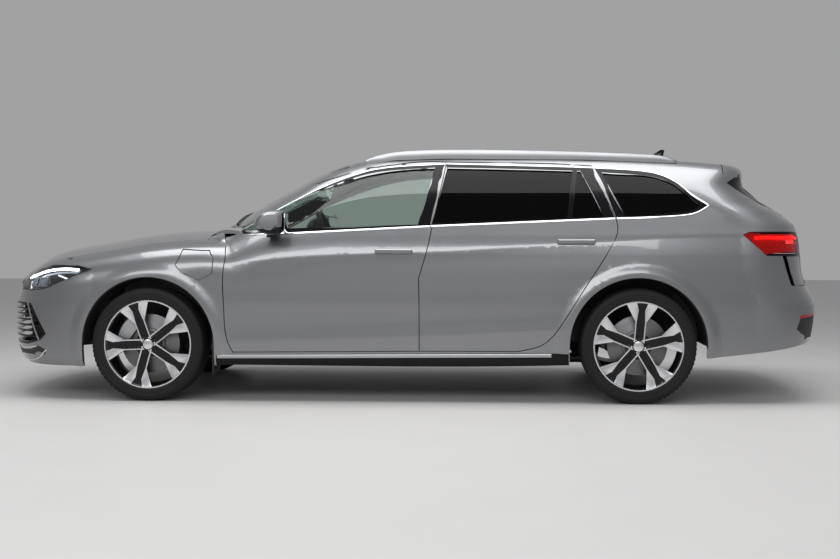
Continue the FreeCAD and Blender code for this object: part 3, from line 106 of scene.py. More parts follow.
# Body curvature: crown of the roof, roll of the shoulders and round corners of nose and tail
CROWN = 62 * MM
CROWN_SPAN = 740 * MM
CROWN_SETBACK = 90 * MM
CROWN_POWER = 2.4
SETBACK_POWER = 2.5
SHOULDER_ROLL = 160 * MM
SHOULDER_DROP = 40 * MM
SHOULDER_DEPTH = 100 * MM
SHOULDER_LEVELS = (0.45, 0.95)
NOSE_CORNER = 650 * MM
TAIL_CORNER = 420 * MM
NOSE_FULLNESS = (2.9, 2.4)
TAIL_FULLNESS = (4.2, 2.8)
RIDGE_ROUND = 70 * MM

# Reading and setting the skin: reach, softness, steps and the limits of what counts as outside
SKIN_REACH = 11 * MM
CREASE_SOFT = 15 * MM
CREASE_BAND = 46 * MM
PANEL_STEP = 42 * MM
HEIGHT_STEP = 0.7 * PANEL_STEP
PROBE = 0.2 * MM
SIDE_CAST = 0.95 * HALF_WIDTH
END_CAST = 2350 * MM
CORNER_CAST = 2200 * MM
SKIN_ROUNDS = 4
CAST_ROUNDS = 14
LEAST_LEAN = 0.2
OUTER_FACING = 0.35
EDGE_FACING = -0.3

# Shading, merging and the steps of paths
PIECE_ANGLE = math.radians(35)
SKIN_ANGLE = math.radians(32)
CAD_MERGE = 0.03 * MM
BAR_MERGE = 0.01 * MM
SPIN_MERGE = 0.05 * MM
CUT_MERGE = 0.05 * MM
HOLE_MERGE = 0.02 * MM
HOLE_MARGIN = 2 * MM
PATH_SAMPLES = 24
GUIDE_STEP = 24 * MM

# Half of a tyre's outline in millimetres: radius and distance from its middle
TYRE_PROFILE = ((258.6, 0), (258.6, 116.4), (262, 118.2), (275, 119.4), (288, 119.6), (296, 119.3),
                (298, 120.2), (301, 120.2), (303, 118.6), (312, 116.2), (320, 112.6), (326, 107.2),
                (329.6, 100.6), (331.4, 93), (332, 84), (332, 70.5), (325, 69.5), (325, 62.5),
                (332, 61.5), (332, 42), (332, 26.5), (325, 25.5), (325, 18.5), (332, 17.5))
STEPS_A_BLOCK = 3
BLOCK_RADIUS = 319 * MM
BLOCK_ACROSS = 82 * MM

# Bright parts of the rims, and the calipers
RIM_FACE_DEPTH = 99.5 * MM
RIM_LIP_RADIUS = 243 * MM
RIM_LIP_DEPTH = 92 * MM
CALIPER_RADIUS = 108 * MM
CALIPER_REACH = 250 * MM

# Stage
FLOOR_SIZE = 40
SKY_COLOUR = (0.9, 0.92, 0.95, 1)
SKY_STRENGTH = 0.38
SENSOR = 36
SIGHT = 100
CAMERA_PLACE = (0.5209, -8.1483, 0.9616)
SOFTBOXES = (("overhead_softbox", (0, -1.0, 5.0), (0, 0, 0), (7.0, 3.0), 260.0),
             ("front_softbox", (-1.0, -7.5, 3.6), (58, 0, 0), (8.0, 2.2), 210.0))

# Half width at each height, as shares of the half width
SECTION_SHARES = ((0.122, 0.955), (0.176, 0.985), (0.231, 0.992), (0.305, 0.997), (0.407, 1.0),
                  (0.508, 0.998), (0.576, 0.991), (0.61, 0.982), (0.644, 0.965), (0.678, 0.94),
                  (0.746, 0.886), (0.814, 0.826), (0.881, 0.76), (0.949, 0.685), (1.017, 0.61))
# Half width along the car, as stations and shares
PLAN_SHARES = ((-1.0, 0.93), (-0.43, 0.965), (0.0, 0.985), (0.3, 1.0), (0.8, 1.0),
               (1.0, 0.992), (1.5, 0.965), (2.0, 0.92))
# Set back of the nose and of the tail at each height, as shares of the overhangs
NOSE_SHARES = ((0.122, 0.09), (0.167, 0.03), (0.24, 0.0), (0.374, 0.0), (0.431, 0.02),
               (0.481, 0.035), (0.542, 0.07), (1.0, 0.07))
TAIL_SHARES = ((0.122, 0.11), (0.231, 0.027), (0.268, 0.011), (0.336, 0.0), (0.388, 0.002),
               (0.447, 0.042), (0.521, 0.076), (0.574, 0.08), (0.685, 0.1), (0.741, 0.178),
               (0.789, 0.284), (0.864, 0.376), (0.923, 0.362), (1.017, 0.362))
# Centre line of the bonnet, windscreen and roof
CENTRE_SHARES = ((-1.15, 0.38), (-1.0, 0.44), (-0.96, 0.481), (-0.93, 0.506), (-0.82, 0.551),
                 (-0.757, 0.578), (-0.657, 0.601), (-0.505, 0.619), (-0.285, 0.644),
                 (-0.115, 0.662), (0.044, 0.676), (0.112, 0.681), (0.131, 0.698), (0.17, 0.746),
                 (0.229, 0.814), (0.276, 0.861), (0.326, 0.912), (0.385, 0.957), (0.435, 0.981),
                 (0.485, 0.993), (0.59, 1.0), (0.767, 0.998), (0.907, 0.991), (1.125, 0.978),
                 (1.4, 0.963), (1.64, 0.939), (2.1, 0.88))


# Surface of the body


def place_x(station):
    """Stations run -1 at the nose, 0 and 1 at the axles and 2 at the tail."""
    if station < 0:
        return FRONT_AXLE + station * FRONT_OVERHANG
    if station < 1:
        return FRONT_AXLE + station * WHEELBASE
    return REAR_AXLE + (station - 1) * REAR_OVERHANG


def smooth_curve(places, values):
    """A smooth curve through a table, with no overshoot, for arrays of places."""
    places = np.array(places, float)
    values = np.array(values, float)
    spans = np.diff(places)
    rises = np.diff(values) / spans
    slopes = np.zeros(len(places))
    product = rises[:-1] * rises[1:]
    total = np.where(product > 0, rises[:-1] + rises[1:], 1.0)
    slopes[1:-1] = np.where(product > 0, 2 * product / total, 0.0)
    slopes[0] = rises[0]
    slopes[-1] = rises[-1]

    def value(place):
        place = np.asarray(place, float)
        i = np.clip(np.searchsorted(places, place, side="right") - 1, 0, len(spans) - 1)
        t = np.clip((place - places[i]) / spans[i], 0.0, 1.0)
        start = values[i] * (1 + 2 * t) * (1 - t) ** 2 + slopes[i] * spans[i] * t * (1 - t) ** 2
        end = values[i + 1] * t * t * (3 - 2 * t) + slopes[i + 1] * spans[i] * t * t * (t - 1)
        beyond = (slopes[0] * np.minimum(place - places[0], 0.0)
                  + slopes[-1] * np.maximum(place - places[-1], 0.0))
        return start + end + beyond

    return value


def scaled(shares, up):
    return smooth_curve([a * ROOF_HEIGHT for a, _ in shares], [b * up for _, b in shares])


def along(shares, up=1.0):
    return smooth_curve([place_x(a) for a, _ in shares], [b * up for _, b in shares])


section_width = scaled(SECTION_SHARES, 1.0)
plan_width = along(PLAN_SHARES)
nose_setback = scaled(NOSE_SHARES, FRONT_OVERHANG)
tail_setback = scaled(TAIL_SHARES, REAR_OVERHANG)
centre_line = along(CENTRE_SHARES, ROOF_HEIGHT)


def half_width(x, z):
    """Half the body's width at a place along it and a height."""
    return HALF_WIDTH * plan_width(x) * section_width(z)


def top_height(x, y):
    """Height of the bonnet, screens and roof over a place on the ground."""
    across = np.abs(y) / CROWN_SPAN
    z = centre_line(x - CROWN_SETBACK * across ** SETBACK_POWER) - CROWN * across ** CROWN_POWER
    level = np.clip(centre_line(x) - SHOULDER_DEPTH, *(share * ROOF_HEIGHT for share in SHOULDER_LEVELS))
    roll = np.maximum((np.abs(y) - half_width(x, level) + SHOULDER_ROLL) / SHOULDER_ROLL, 0.0)
    return z - SHOULDER_DROP * roll ** 2


def wall_level(x, y, z):
    """Zero on the side walls, nose and tail, and negative inside them."""
    nose = NOSE_X + nose_setback(z)
    tail = TAIL_X - tail_setback(z)
    front = NOSE_X + NOSE_CORNER
    rear = tail - TAIL_CORNER
    share = np.abs(y) / half_width(np.clip(x, front, rear), z)
    at_nose = np.maximum((front - x) / (front - nose), 0.0)
    at_tail = np.maximum((x - rear) / (tail - rear), 0.0)
    power = np.where(x < 0, NOSE_FULLNESS[0], TAIL_FULLNESS[0])
    return share ** power + at_nose ** NOSE_FULLNESS[1] + at_tail ** TAIL_FULLNESS[1] - 1


def distance(level, points):
    """Signed distance to a level surface, and its outward direction."""
    x, y, z = points.T
    here = level(x, y, z)
    slope = np.stack([level(x + PROBE, y, z) - level(x - PROBE, y, z),
                      level(x, y + PROBE, z) - level(x, y - PROBE, z),
                      level(x, y, z + PROBE) - level(x, y, z - PROBE)], 1) / (2 * PROBE)
    size = np.maximum(np.linalg.norm(slope, axis=1), 1e-6)
    return here / size, slope / size[:, None]


def top_level(x, y, z):
    return z - top_height(x, y)


def step(value, low, high):
    """A soft step from zero to one between two limits."""
    t = np.clip((value - low) / (high - low), 0.0, 1.0)
    return t * t * (3 - 2 * t)


# Creases of the panels, as offsets out of the smooth body. The shoulder line and the lower crease
# are given as stations and shares of the roof's height.
LINE_SHARES = ((-0.8, 0.53), (0.10, 0.548), (0.16, 0.553), (0.32, 0.573), (0.47, 0.587),
               (0.569, 0.593), (0.838, 0.624), (0.927, 0.631), (1.18, 0.647), (1.32, 0.649),
               (1.527, 0.652), (2.2, 0.655))
LOWER_SHARES = ((0.0, 0.226), (0.165, 0.231), (0.32, 0.241), (0.556, 0.26), (0.813, 0.287),
                (1.1, 0.31))
# Depth of each, how far it fades above and below, and how much of it lies below the smooth body
LINE_DEPTH = 9 * MM
LINE_ABOVE = 110 * MM
LINE_BELOW = 42 * MM
LOWER_DEPTH = 9 * MM
LINE_SINK = 0.5
LOWER_SINK = 0.4
# Stations between which the creases fade in or out, and heights over which the lower one does
LINE_START = (0.05, 0.2)
LOWER_START = (0.13, 0.18)
LOWER_END = (0.9, 0.98)
LOWER_FADE = (350 * MM, 620 * MM)
# Shares of the half width between which all relief begins
SIDE_FADE = (0.6, 0.85)
# Raised lip round the wheel arches, with its inner and outer limit as shares of its width
FLARE_WIDTH = 66 * MM
FLARE_DEPTH = 8 * MM
FLARE_START = 0.3
FLARE_END = 1.3
# Where the mesh is made finer, and the shortest edge that is halved
LOWER_REACH = (0.12, 0.99)
FLARE_MIDDLE = 0.75 * FLARE_WIDTH
FLARE_REACH = 0.6 * FLARE_WIDTH
FINE_EDGE = 9 * MM
REFINE_ROUNDS = 2

shoulder_line = along(LINE_SHARES, ROOF_HEIGHT)
lower_line = along(LOWER_SHARES, ROOF_HEIGHT)


def ridge(rise, above, below):
    """A ridge that falls away on both sides of zero, with a softly rounded top."""
    soft = np.sqrt(rise * rise + CREASE_SOFT * CREASE_SOFT) - CREASE_SOFT
    return np.exp(-soft / np.where(rise > 0, above, below))


def near_crease(points):
    """True within a narrow band of a crease or of an arch's flare."""
    x, _, z = points.T
    near = np.abs(z - shoulder_line(x)) < CREASE_BAND
    near &= x > place_x(0.0)
    low = np.abs(z - lower_line(x)) < CREASE_BAND
    near |= low & (x > place_x(LOWER_REACH[0])) & (x < place_x(LOWER_REACH[1]))
    for axle in (FRONT_AXLE, REAR_AXLE):
        radius = np.hypot(x - axle, z - TYRE_RADIUS)
        near |= np.abs(radius - ARCH_RADIUS - FLARE_MIDDLE) < FLARE_REACH
    return near


def side_relief(x, y, z):
    """How far the sides stand out of the smooth body at a place."""
    rise = z - shoulder_line(x)
    present = step(x, *(place_x(a) for a in LINE_START))
    relief = LINE_DEPTH * present * (ridge(rise, LINE_ABOVE, LINE_BELOW) - LINE_SINK)
    low = z - lower_line(x)
    doors = step(x, *(place_x(a) for a in LOWER_START))
    doors = doors * (1 - step(x, *(place_x(a) for a in LOWER_END)))
    hollow = ridge(low, LINE_ABOVE, LINE_BELOW)
    relief = relief + LOWER_DEPTH * doors * (hollow - LOWER_SINK) * (1 - step(z, *LOWER_FADE))
    for axle in (FRONT_AXLE, REAR_AXLE):
        radius = np.hypot(x - axle, z - TYRE_RADIUS)
        lip = 1 - step(radius, ARCH_RADIUS + FLARE_START * FLARE_WIDTH, ARCH_RADIUS + FLARE_END * FLARE_WIDTH)
        relief = relief * (1 - lip) + FLARE_DEPTH * lip
    beside = step(np.abs(y), *(share * HALF_WIDTH for share in SIDE_FADE))
    return relief * beside


def body_distance(points, inset=0.0, relief=True):
    """Signed distance to the body's skin, rounded where roof and walls meet, and the direction."""
    wall, wall_way = distance(wall_level, points)
    top, top_way = distance(top_level, points)
    if relief:
        wall = wall - side_relief(*points.T)
    near = np.maximum(1 - np.abs(wall - top) / RIDGE_ROUND, 0.0)
    reach = np.maximum(wall, top) + near * near * RIDGE_ROUND / 4
    blend = np.clip(0.5 + (wall - top) / (2 * RIDGE_ROUND), 0.0, 1.0)[:, None]
    way = wall_way * blend + top_way * (1 - blend)
    size = np.maximum(np.linalg.norm(way, axis=1, keepdims=True), 1e-6)
    return reach + inset, way / size


def raw_distance(points):
    """Signed distance to the body before its edge is rounded."""
    wall, _ = distance(wall_level, points)
    top, _ = distance(top_level, points)
    return np.maximum(wall, top)


def on_body(points, inset=0.0, relief=True):
    """The points moved onto the skin, or onto a layer inside it."""
    points = np.array(points, float)
    for _ in range(SKIN_ROUNDS):
        gap, way = body_distance(points, inset, relief)
        points = points - way * gap[:, None]
    return points


def cast(start, way, out=0.0, relief=True):
    """The points moved along one direction until they lie that far outside the skin."""
    points = np.array(start, float)
    for _ in range(CAST_ROUNDS):
        gap, slope = body_distance(points, -out, relief)
        lean = np.maximum(slope @ way, LEAST_LEAN)
        points = points - way * (gap / lean)[:, None]
    return points


def facing(turn):
    """Outward and sideways directions of a view: 0 is the side, 90 the nose, -90 the tail."""
    angle = math.radians(turn)
    outward = np.array([-math.sin(angle), math.cos(angle), 0.0])
    across = np.array([math.cos(angle), math.sin(angle), 0.0])
    return outward, across


def mapped(flat, turn, out=0.0, relief=True):
    """Places in a view (sideways, height) put on the skin of the right-hand side."""
    flat = np.asarray(flat, float)
    outward, across = facing(turn)
    reach = SIDE_CAST if abs(turn) < 20 else (END_CAST if abs(turn) > 70 else CORNER_CAST)
    start = flat[:, :1] * across + outward * reach
    start[:, 2] = flat[:, 1]
    return cast(start, outward, out, relief)


# Materials

COAT_ROUGHNESS = 0.03
CLOUD_DETAIL = 4.0
DRIFT_SCALE = 2.3
DRIFT_DETAIL = 3.0


def feed(tree, socket, value):
    """Link a socket to another, or set it to a plain value."""
    if isinstance(value, bpy.types.NodeSocket):
        tree.links.new(value, socket)
    else:
        socket.default_value = value


def worked(tree, operation, *values):
    """A math node's result."""
    node = tree.nodes.new("ShaderNodeMath")
    node.operation = operation
    for socket, value in zip(node.inputs, values):
        feed(tree, socket, value)
    return node.outputs[0]


def noise(tree, place, scale, detail=2.0):
    """A noise texture's value in object space."""
    node = tree.nodes.new("ShaderNodeTexNoise")
    tree.links.new(place, node.inputs["Vector"])
    feed(tree, node.inputs["Scale"], scale)
    node.inputs["Detail"].default_value = detail
    return node.outputs["Fac"]


def new_group(name, sockets):
    """A node group with named sockets: its tree, its inputs, its outputs and the object place."""
    group = bpy.data.node_groups.new(name, "ShaderNodeTree")
    for title, way, kind, default in sockets:
        made = group.interface.new_socket(name=title, in_out=way, socket_type="NodeSocket" + kind)
        if default is not None:
            made.default_value = default
    inputs = group.nodes.new("NodeGroupInput").outputs
    outputs = group.nodes.new("NodeGroupOutput").inputs
    return group, inputs, outputs, group.nodes.new("ShaderNodeTexCoord").outputs["Object"]


def grain_group():
    """Soft cloudy variation about a mean, for roughness, and the height of a fine grain."""
    group, inputs, outputs, place = new_group("Grain", (
        ("Mean", "INPUT", "Float", 0.5), ("Spread", "INPUT", "Float", 0.05),
        ("Cloud Scale", "INPUT", "Float", 4.0), ("Grain Scale", "INPUT", "Float", 400.0),
        ("Roughness", "OUTPUT", "Float", None), ("Height", "OUTPUT", "Float", None)))
    cloud = worked(group, "SUBTRACT", noise(group, place, inputs["Cloud Scale"], CLOUD_DETAIL), 0.5)
    total = worked(group, "MULTIPLY_ADD", cloud, inputs["Spread"], inputs["Mean"])
    group.links.new(total, outputs["Roughness"])
    group.links.new(noise(group, place, inputs["Grain Scale"]), outputs["Height"])
    return group


def tone_group():
    """A colour that drifts a little over the surface, with fine specks in it."""
    group, inputs, outputs, place = new_group("Tone", (
        ("Colour", "INPUT", "Color", None), ("Drift", "INPUT", "Float", 0.06),
        ("Speck", "INPUT", "Float", 0.0), ("Speck Scale", "INPUT", "Float", 900.0),
        ("Colour", "OUTPUT", "Color", None)))
    shares = []
    for source, amount in ((noise(group, place, DRIFT_SCALE, DRIFT_DETAIL), "Drift"),
                           (noise(group, place, inputs["Speck Scale"]), "Speck")):
        centred = worked(group, "SUBTRACT", source, 0.5)
        shares.append(worked(group, "MULTIPLY_ADD", centred, inputs[amount], 1.0))
    scale = group.nodes.new("ShaderNodeVectorMath")
    scale.operation = "SCALE"
    group.links.new(inputs["Colour"], scale.inputs[0])
    group.links.new(worked(group, "MULTIPLY", *shares), scale.inputs["Scale"])
    group.links.new(scale.outputs[0], outputs["Colour"])
    return group


GROUPS = {}
FINISHES = {}


def shared(name, maker):
    if name not in GROUPS:
        GROUPS[name] = maker()
    return GROUPS[name]


def surface(name, colour, roughness, metallic=0.0, coat=0.0, spread=0.08, drift=0.06, speck=0.0,
            grain=0.0, grain_scale=400.0, cloud_scale=4.0, transmission=0.0, ior=1.45, glow=None,
            glow_strength=0.0, sheen=0.0, specular=0.5):
    """A finish whose colour, roughness and grain all vary over the piece."""
    if name in FINISHES:
        return FINISHES[name]
    material = bpy.data.materials.new(name)
    material.use_nodes = True
    nodes, links = material.node_tree.nodes, material.node_tree.links
    shader = nodes["Principled BSDF"]
    shader.inputs["Metallic"].default_value = metallic
    shader.inputs["Coat Weight"].default_value = coat
    shader.inputs["Coat Roughness"].default_value = COAT_ROUGHNESS
    shader.inputs["Transmission Weight"].default_value = transmission
    shader.inputs["IOR"].default_value = ior
    shader.inputs["Sheen Weight"].default_value = sheen
    shader.inputs["Specular IOR Level"].default_value = specular
    tone = nodes.new("ShaderNodeGroup")
    tone.node_tree = shared("Tone", tone_group)
    tone.inputs["Colour"].default_value = (*colour, 1.0)
    tone.inputs["Drift"].default_value = drift
    tone.inputs["Speck"].default_value = speck
    links.new(tone.outputs["Colour"], shader.inputs["Base Color"])
    texture = nodes.new("ShaderNodeGroup")
    texture.node_tree = shared("Grain", grain_group)
    texture.inputs["Mean"].default_value = roughness
    texture.inputs["Spread"].default_value = spread
    texture.inputs["Cloud Scale"].default_value = cloud_scale
    texture.inputs["Grain Scale"].default_value = grain_scale
    links.new(texture.outputs["Roughness"], shader.inputs["Roughness"])
    if grain > 0:
        bump = nodes.new("ShaderNodeBump")
        bump.inputs["Strength"].default_value = 1.0
        bump.inputs["Distance"].default_value = grain
        links.new(texture.outputs["Height"], bump.inputs["Height"])
        links.new(bump.outputs["Normal"], shader.inputs["Normal"])
    if glow is not None:
        shader.inputs["Emission Color"].default_value = (*glow, 1.0)
        shader.inputs["Emission Strength"].default_value = glow_strength
    FINISHES[name] = material
    return material


def paint():
    colour = bpy.context.scene.estate_paint.colour
    return surface("Grey metallic paint", tuple(colour), 0.33, metallic=0.8, coat=1.0, spread=0.03,
                   drift=0.03, speck=0.22)


def finish_of(name, colour, roughness, **other):
    """What makes one finish at its first use and gives it again later."""
    return lambda: surface(name, colour, roughness, **other)


cabin_black = finish_of("Soft black cabin trim", (0.022, 0.022, 0.024), 0.6, grain=0.0002, grain_scale=700.0)
leather = finish_of("Dark leather", (0.030, 0.029, 0.029), 0.42, spread=0.12, grain=0.0003,
                    grain_scale=320.0, sheen=0.1)
carpet = finish_of("Cargo carpet", (0.025, 0.025, 0.027), 0.95, drift=0.2, grain=0.0012,
                   grain_scale=600.0, sheen=0.3)
steel = finish_of("Brushed steel", (0.16, 0.16, 0.165), 0.42, metallic=1.0, spread=0.2, cloud_scale=30.0)
machined = finish_of("Machined alloy", (0.70, 0.71, 0.73), 0.24, metallic=1.0, spread=0.08, cloud_scale=24.0)
dark_alloy = finish_of("Dark grey wheel paint", (0.010, 0.010, 0.011), 0.3, metallic=0.2, specular=0.35)
caliper_silver = finish_of("Silver caliper", (0.42, 0.43, 0.44), 0.4, metallic=0.7, grain=0.0002)
lamp_black = finish_of("Lamp housing", (0.012, 0.012, 0.013), 0.14, coat=0.5, spread=0.06)
clear_cover = finish_of("Clear lamp cover", (0.96, 0.97, 0.98), 0.0, spread=0.0, drift=0.01,
                        transmission=1.0, ior=1.3)
pale_white = finish_of("Pale lamp detail", (0.8, 0.84, 0.88), 0.3, glow=(0.85, 0.9, 1.0), glow_strength=1.1)
lens_glass = finish_of("Lamp lens", (0.30, 0.36, 0.42), 0.05, metallic=0.6, coat=1.0)
red_cover = finish_of("Smoked red cover", (0.50, 0.06, 0.06), 0.0, spread=0.0, drift=0.02,
                      transmission=1.0, ior=1.3)
white_glow = finish_of("Daylight strip", (0.9, 0.95, 1.0), 0.3, glow=(0.78, 0.88, 1.0), glow_strength=7.0)
red_glow = finish_of("Tail light strip", (0.8, 0.03, 0.03), 0.3, glow=(1.0, 0.035, 0.03), glow_strength=5.0)
soft_red = finish_of("Tail lamp depth", (0.35, 0.008, 0.01), 0.25, glow=(0.6, 0.012, 0.012),
                     glow_strength=0.7)
pale_red = finish_of("Bright lamp blocks", (0.9, 0.5, 0.5), 0.3, glow=(1.0, 0.42, 0.42), glow_strength=2.2)
reflector_red = finish_of("Red reflector", (0.45, 0.01, 0.012), 0.18, grain=0.0004, grain_scale=240.0)
mirror_glass = finish_of("Mirror glass", (0.85, 0.87, 0.88), 0.02, metallic=1.0, spread=0.01)
screen_glass = finish_of("Dark display", (0.01, 0.012, 0.016), 0.08, coat=0.8)
plate_white = finish_of("Blank plate", (0.72, 0.72, 0.70), 0.35, grain=0.0001)
gloss_black = finish_of("Gloss black trim", (0.004, 0.004, 0.005), 0.12, spread=0.05, specular=0.22)
satin_black = finish_of("Grained black plastic", (0.018, 0.018, 0.019), 0.55, grain=0.0003)
chrome = finish_of("Bright chrome", (0.82, 0.83, 0.85), 0.07, metallic=1.0, spread=0.05, drift=0.02)
satin_metal = finish_of("Satin aluminium", (0.42, 0.43, 0.445), 0.34, metallic=1.0, drift=0.03)
clear_glass = finish_of("Green tinted glass", (0.70, 0.80, 0.75), 0.0, spread=0.0, drift=0.01,
                        transmission=1.0, ior=1.35)
dark_glass = finish_of("Dark privacy glass", (0.012, 0.013, 0.014), 0.0, spread=0.0, drift=0.02,
                       transmission=1.0, ior=1.22)
underbody = finish_of("Dark underbody coat", (0.03, 0.03, 0.032), 0.7, grain=0.0005, grain_scale=160.0)
tyre_rubber = finish_of("Tyre rubber", (0.010, 0.010, 0.0105), 0.66, spread=0.12, grain=0.0002,
                        grain_scale=500.0, specular=0.3)
cast_metal = finish_of("Cast metal", (0.16, 0.16, 0.165), 0.5, metallic=0.8, grain=0.0004,
                       grain_scale=250.0)


# Mesh helpers


def only(obj):
    """Select one object and make it active."""
    bpy.ops.object.select_all(action="DESELECT")
    obj.select_set(True)
    bpy.context.view_layer.objects.active = obj


def shaded(obj, angle=PIECE_ANGLE):
    """Smooth shading that stops at edges sharper than the angle."""
    only(obj)
    bpy.ops.object.shade_smooth_by_angle(angle=angle)


def merged(obj, threshold, outward=True):
    """Merge doubles, and point the faces outwards where that is asked."""
    only(obj)
    bpy.ops.object.mode_set(mode="EDIT")
    bpy.ops.mesh.select_all(action="SELECT")
    bpy.ops.mesh.remove_doubles(threshold=threshold)
    if outward:
        bpy.ops.mesh.normals_make_consistent(inside=False)
    bpy.ops.object.mode_set(mode="OBJECT")


def wear(obj, *materials):
    """Give a mesh its materials, and keep the faces' places among them."""
    indices = [p.material_index for p in obj.data.polygons]
    obj.data.materials.clear()
    for material in materials:
        obj.data.materials.append(material)
    top = len(materials) - 1
    obj.data.polygons.foreach_set("material_index", [min(i, top) for i in indices])


def node_copy(node, name):
    """A merged copy of a frame node, free to be shaped."""
    source = frame["nodes"][node]
    mesh = source.data.copy()
    mesh.name = name
    obj = bpy.data.objects.new(name, mesh)
    bpy.context.scene.collection.objects.link(obj)
    only(obj)
    bpy.ops.mesh.customdata_custom_splitnormals_clear()
    merged(obj, CAD_MERGE, outward=False)
    return obj


def body_of(node):
    return frame["nodes"][node]["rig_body"]


def points_of(mesh):
    """The places of a mesh's vertices, as rows."""
    flat = np.empty(len(mesh.vertices) * 3)
    mesh.vertices.foreach_get("co", flat)
    return flat.reshape(-1, 3)


def set_points(mesh, points):
    mesh.vertices.foreach_set("co", points.ravel())
    mesh.update()


def two_tone(obj, second):
    """Give the faces that the test names the second material."""
    for polygon in obj.data.polygons:
        polygon.material_index = 1 if second(polygon.center, polygon.normal) else 0


def slice_faces(work, layer, way, start, end, spacing):
    """Cut the marked faces of a bmesh along evenly spaced planes."""
    count = max(1, round((end - start) / spacing))
    normal = Vector(way)
    for i in range(1, count):
        at = normal * (start + (end - start) * i / count)
        cut = [f for f in work.faces if f[layer] > 0]
        geometry = cut + list({e for f in cut for e in f.edges}) + list(
            {v for f in cut for v in f.verts})
        bmesh.ops.bisect_plane(work, geom=geometry, plane_co=at, plane_no=normal, dist=CUT_MERGE)


def skin_normals(points, inset, relief):
    """Outward directions of the rounded skin with its creases."""
    slopes = []
    for axis in range(3):
        shift = np.zeros(3)
        shift[axis] = MM
        ahead, _ = body_distance(points + shift, inset, relief)
        behind, _ = body_distance(points - shift, inset, relief)
        slopes.append(ahead - behind)
    ways = np.stack(slopes, 1)
    return ways / np.maximum(np.linalg.norm(ways, axis=1, keepdims=True), 1e-9)


def refine(work, layer):
    """Halve the marked faces near the creases."""
    for _ in range(REFINE_ROUNDS):
        faces = [f for f in work.faces if f[layer] == 1]
        centres = np.array([f.calc_center_median()[:] for f in faces])
        near = near_crease(centres)
        edges = {e for f, chosen in zip(faces, near) if chosen for e in f.edges
                 if e.calc_length() > FINE_EDGE}
        bmesh.ops.subdivide_edges(work, edges=list(edges), cuts=1, use_grid_fill=True)


def open_hole(work, layer, turn, loop, depth):
    """Cut an outline through the marked faces on both sides, and give it walls."""
    for hand in (-1, 1):
        outward, across = (way * np.array([1, hand, 1]) for way in facing(turn))
        up = np.array([0.0, 0.0, 1.0])
        for start, end in zip(loop, np.roll(loop, -1, axis=0)):
            low = np.minimum(start, end) - HOLE_MARGIN
            high = np.maximum(start, end) + HOLE_MARGIN
            along_line = across * (end[0] - start[0]) + up * (end[1] - start[1])
            near = set()
            for face in work.faces:
                if face[layer] != 1 or face.calc_center_median()[1] * hand < 0:
                    continue
                flat = np.array([[np.dot(v.co, across), v.co[2]] for v in face.verts])
                if (flat.max(0) > low).all() and (flat.min(0) < high).all():
                    near.add(face)
            geometry = list(near | {e for f in near for e in f.edges} | {v for f in near for v in f.verts})
            bmesh.ops.bisect_plane(work, geom=geometry, plane_co=across * start[0] + up * start[1],
                                   plane_no=np.cross(along_line, outward), dist=HOLE_MERGE)
        gone = []
        for face in work.faces:
            middle = np.array(face.calc_center_median())
            if face[layer] == 1 and middle[1] * hand > 0:
                if inside(np.array([[middle @ across, middle[2]]]), [loop])[0]:
                    gone.append(face)
        rim = [e for e in {e for f in gone for e in f.edges}
               if sum(f in gone for f in e.link_faces) == 1]
        bmesh.ops.delete(work, geom=gone, context="FACES")
        made = bmesh.ops.extrude_edge_only(work, edges=[e for e in rim if e.is_valid])["geom"]
        for item in made:
            if isinstance(item, bmesh.types.BMVert):
                item.co -= Vector(outward * depth)
            elif isinstance(item, bmesh.types.BMFace):
                item[layer] = -1


def skinned(node, name, inset=0.0, thickness=None, relief=True, reach=SKIN_REACH, hole=None):
    """A frame panel whose outer face follows the smooth body and its creases."""
    obj = node_copy(node, name)
    mesh = obj.data
    points = points_of(mesh)
    _, way = body_distance(points, 0.0, False)
    depth = raw_distance(points)
    work = bmesh.new()
    work.from_mesh(mesh)
    work.verts.ensure_lookup_table()
    work.normal_update()
    layer = work.faces.layers.int.new("skin")
    for face in work.faces:
        ids = [v.index for v in face.verts]
        facing = float(np.dot(np.array(face.normal), way[ids].mean(0)))
        if facing > OUTER_FACING and np.abs(depth[ids] + inset).max() < reach:
            face[layer] = 1
        elif thickness and facing < -OUTER_FACING and np.abs(depth[ids] + inset + thickness).max() < reach:
            face[layer] = 2
        elif facing < EDGE_FACING:
            face[layer] = -1
    marked = [v.co for f in work.faces if f[layer] > 0 for v in f.verts]
    if not marked:
        raise RuntimeError("no outer face found on " + node)
    low = [min(c[i] for c in marked) for i in range(3)]
    high = [max(c[i] for c in marked) for i in range(3)]
    slice_faces(work, layer, (1, 0, 0), low[0], high[0], PANEL_STEP)
    slice_faces(work, layer, (0, 0, 1), low[2], high[2], HEIGHT_STEP)
    slice_faces(work, layer, (0, 1, 0), low[1], high[1], PANEL_STEP)
    if relief:
        refine(work, layer)
    if hole:
        open_hole(work, layer, *hole)
    outer = list({v for f in work.faces if f[layer] == 1 for v in f.verts})
    inner = list({v for f in work.faces if f[layer] == 2 for v in f.verts})
    for group, level in ((outer, inset), (inner, inset + (thickness or 0.0))):
        if group:
            moved = on_body([v.co for v in group], level, relief)
            for vert, place in zip(group, moved):
                vert.co = place
    work.to_mesh(mesh)
    work.free()
    layer_values = np.zeros(len(mesh.polygons), np.int32)
    mesh.attributes["skin"].data.foreach_get("value", layer_values)
    shaded(obj, SKIN_ANGLE)
    ways = skin_normals(points_of(mesh), inset, relief)
    normals = np.zeros((len(mesh.loops), 3))
    for polygon in mesh.polygons:
        mark = layer_values[polygon.index]
        if mark < 0:
            polygon.material_index = 1
        if mark > 0:
            for loop in polygon.loop_indices:
                normals[loop] = ways[mesh.loops[loop].vertex_index] * (1 if mark == 1 else -1)
    mesh.normals_split_custom_set(normals.tolist())
    return obj


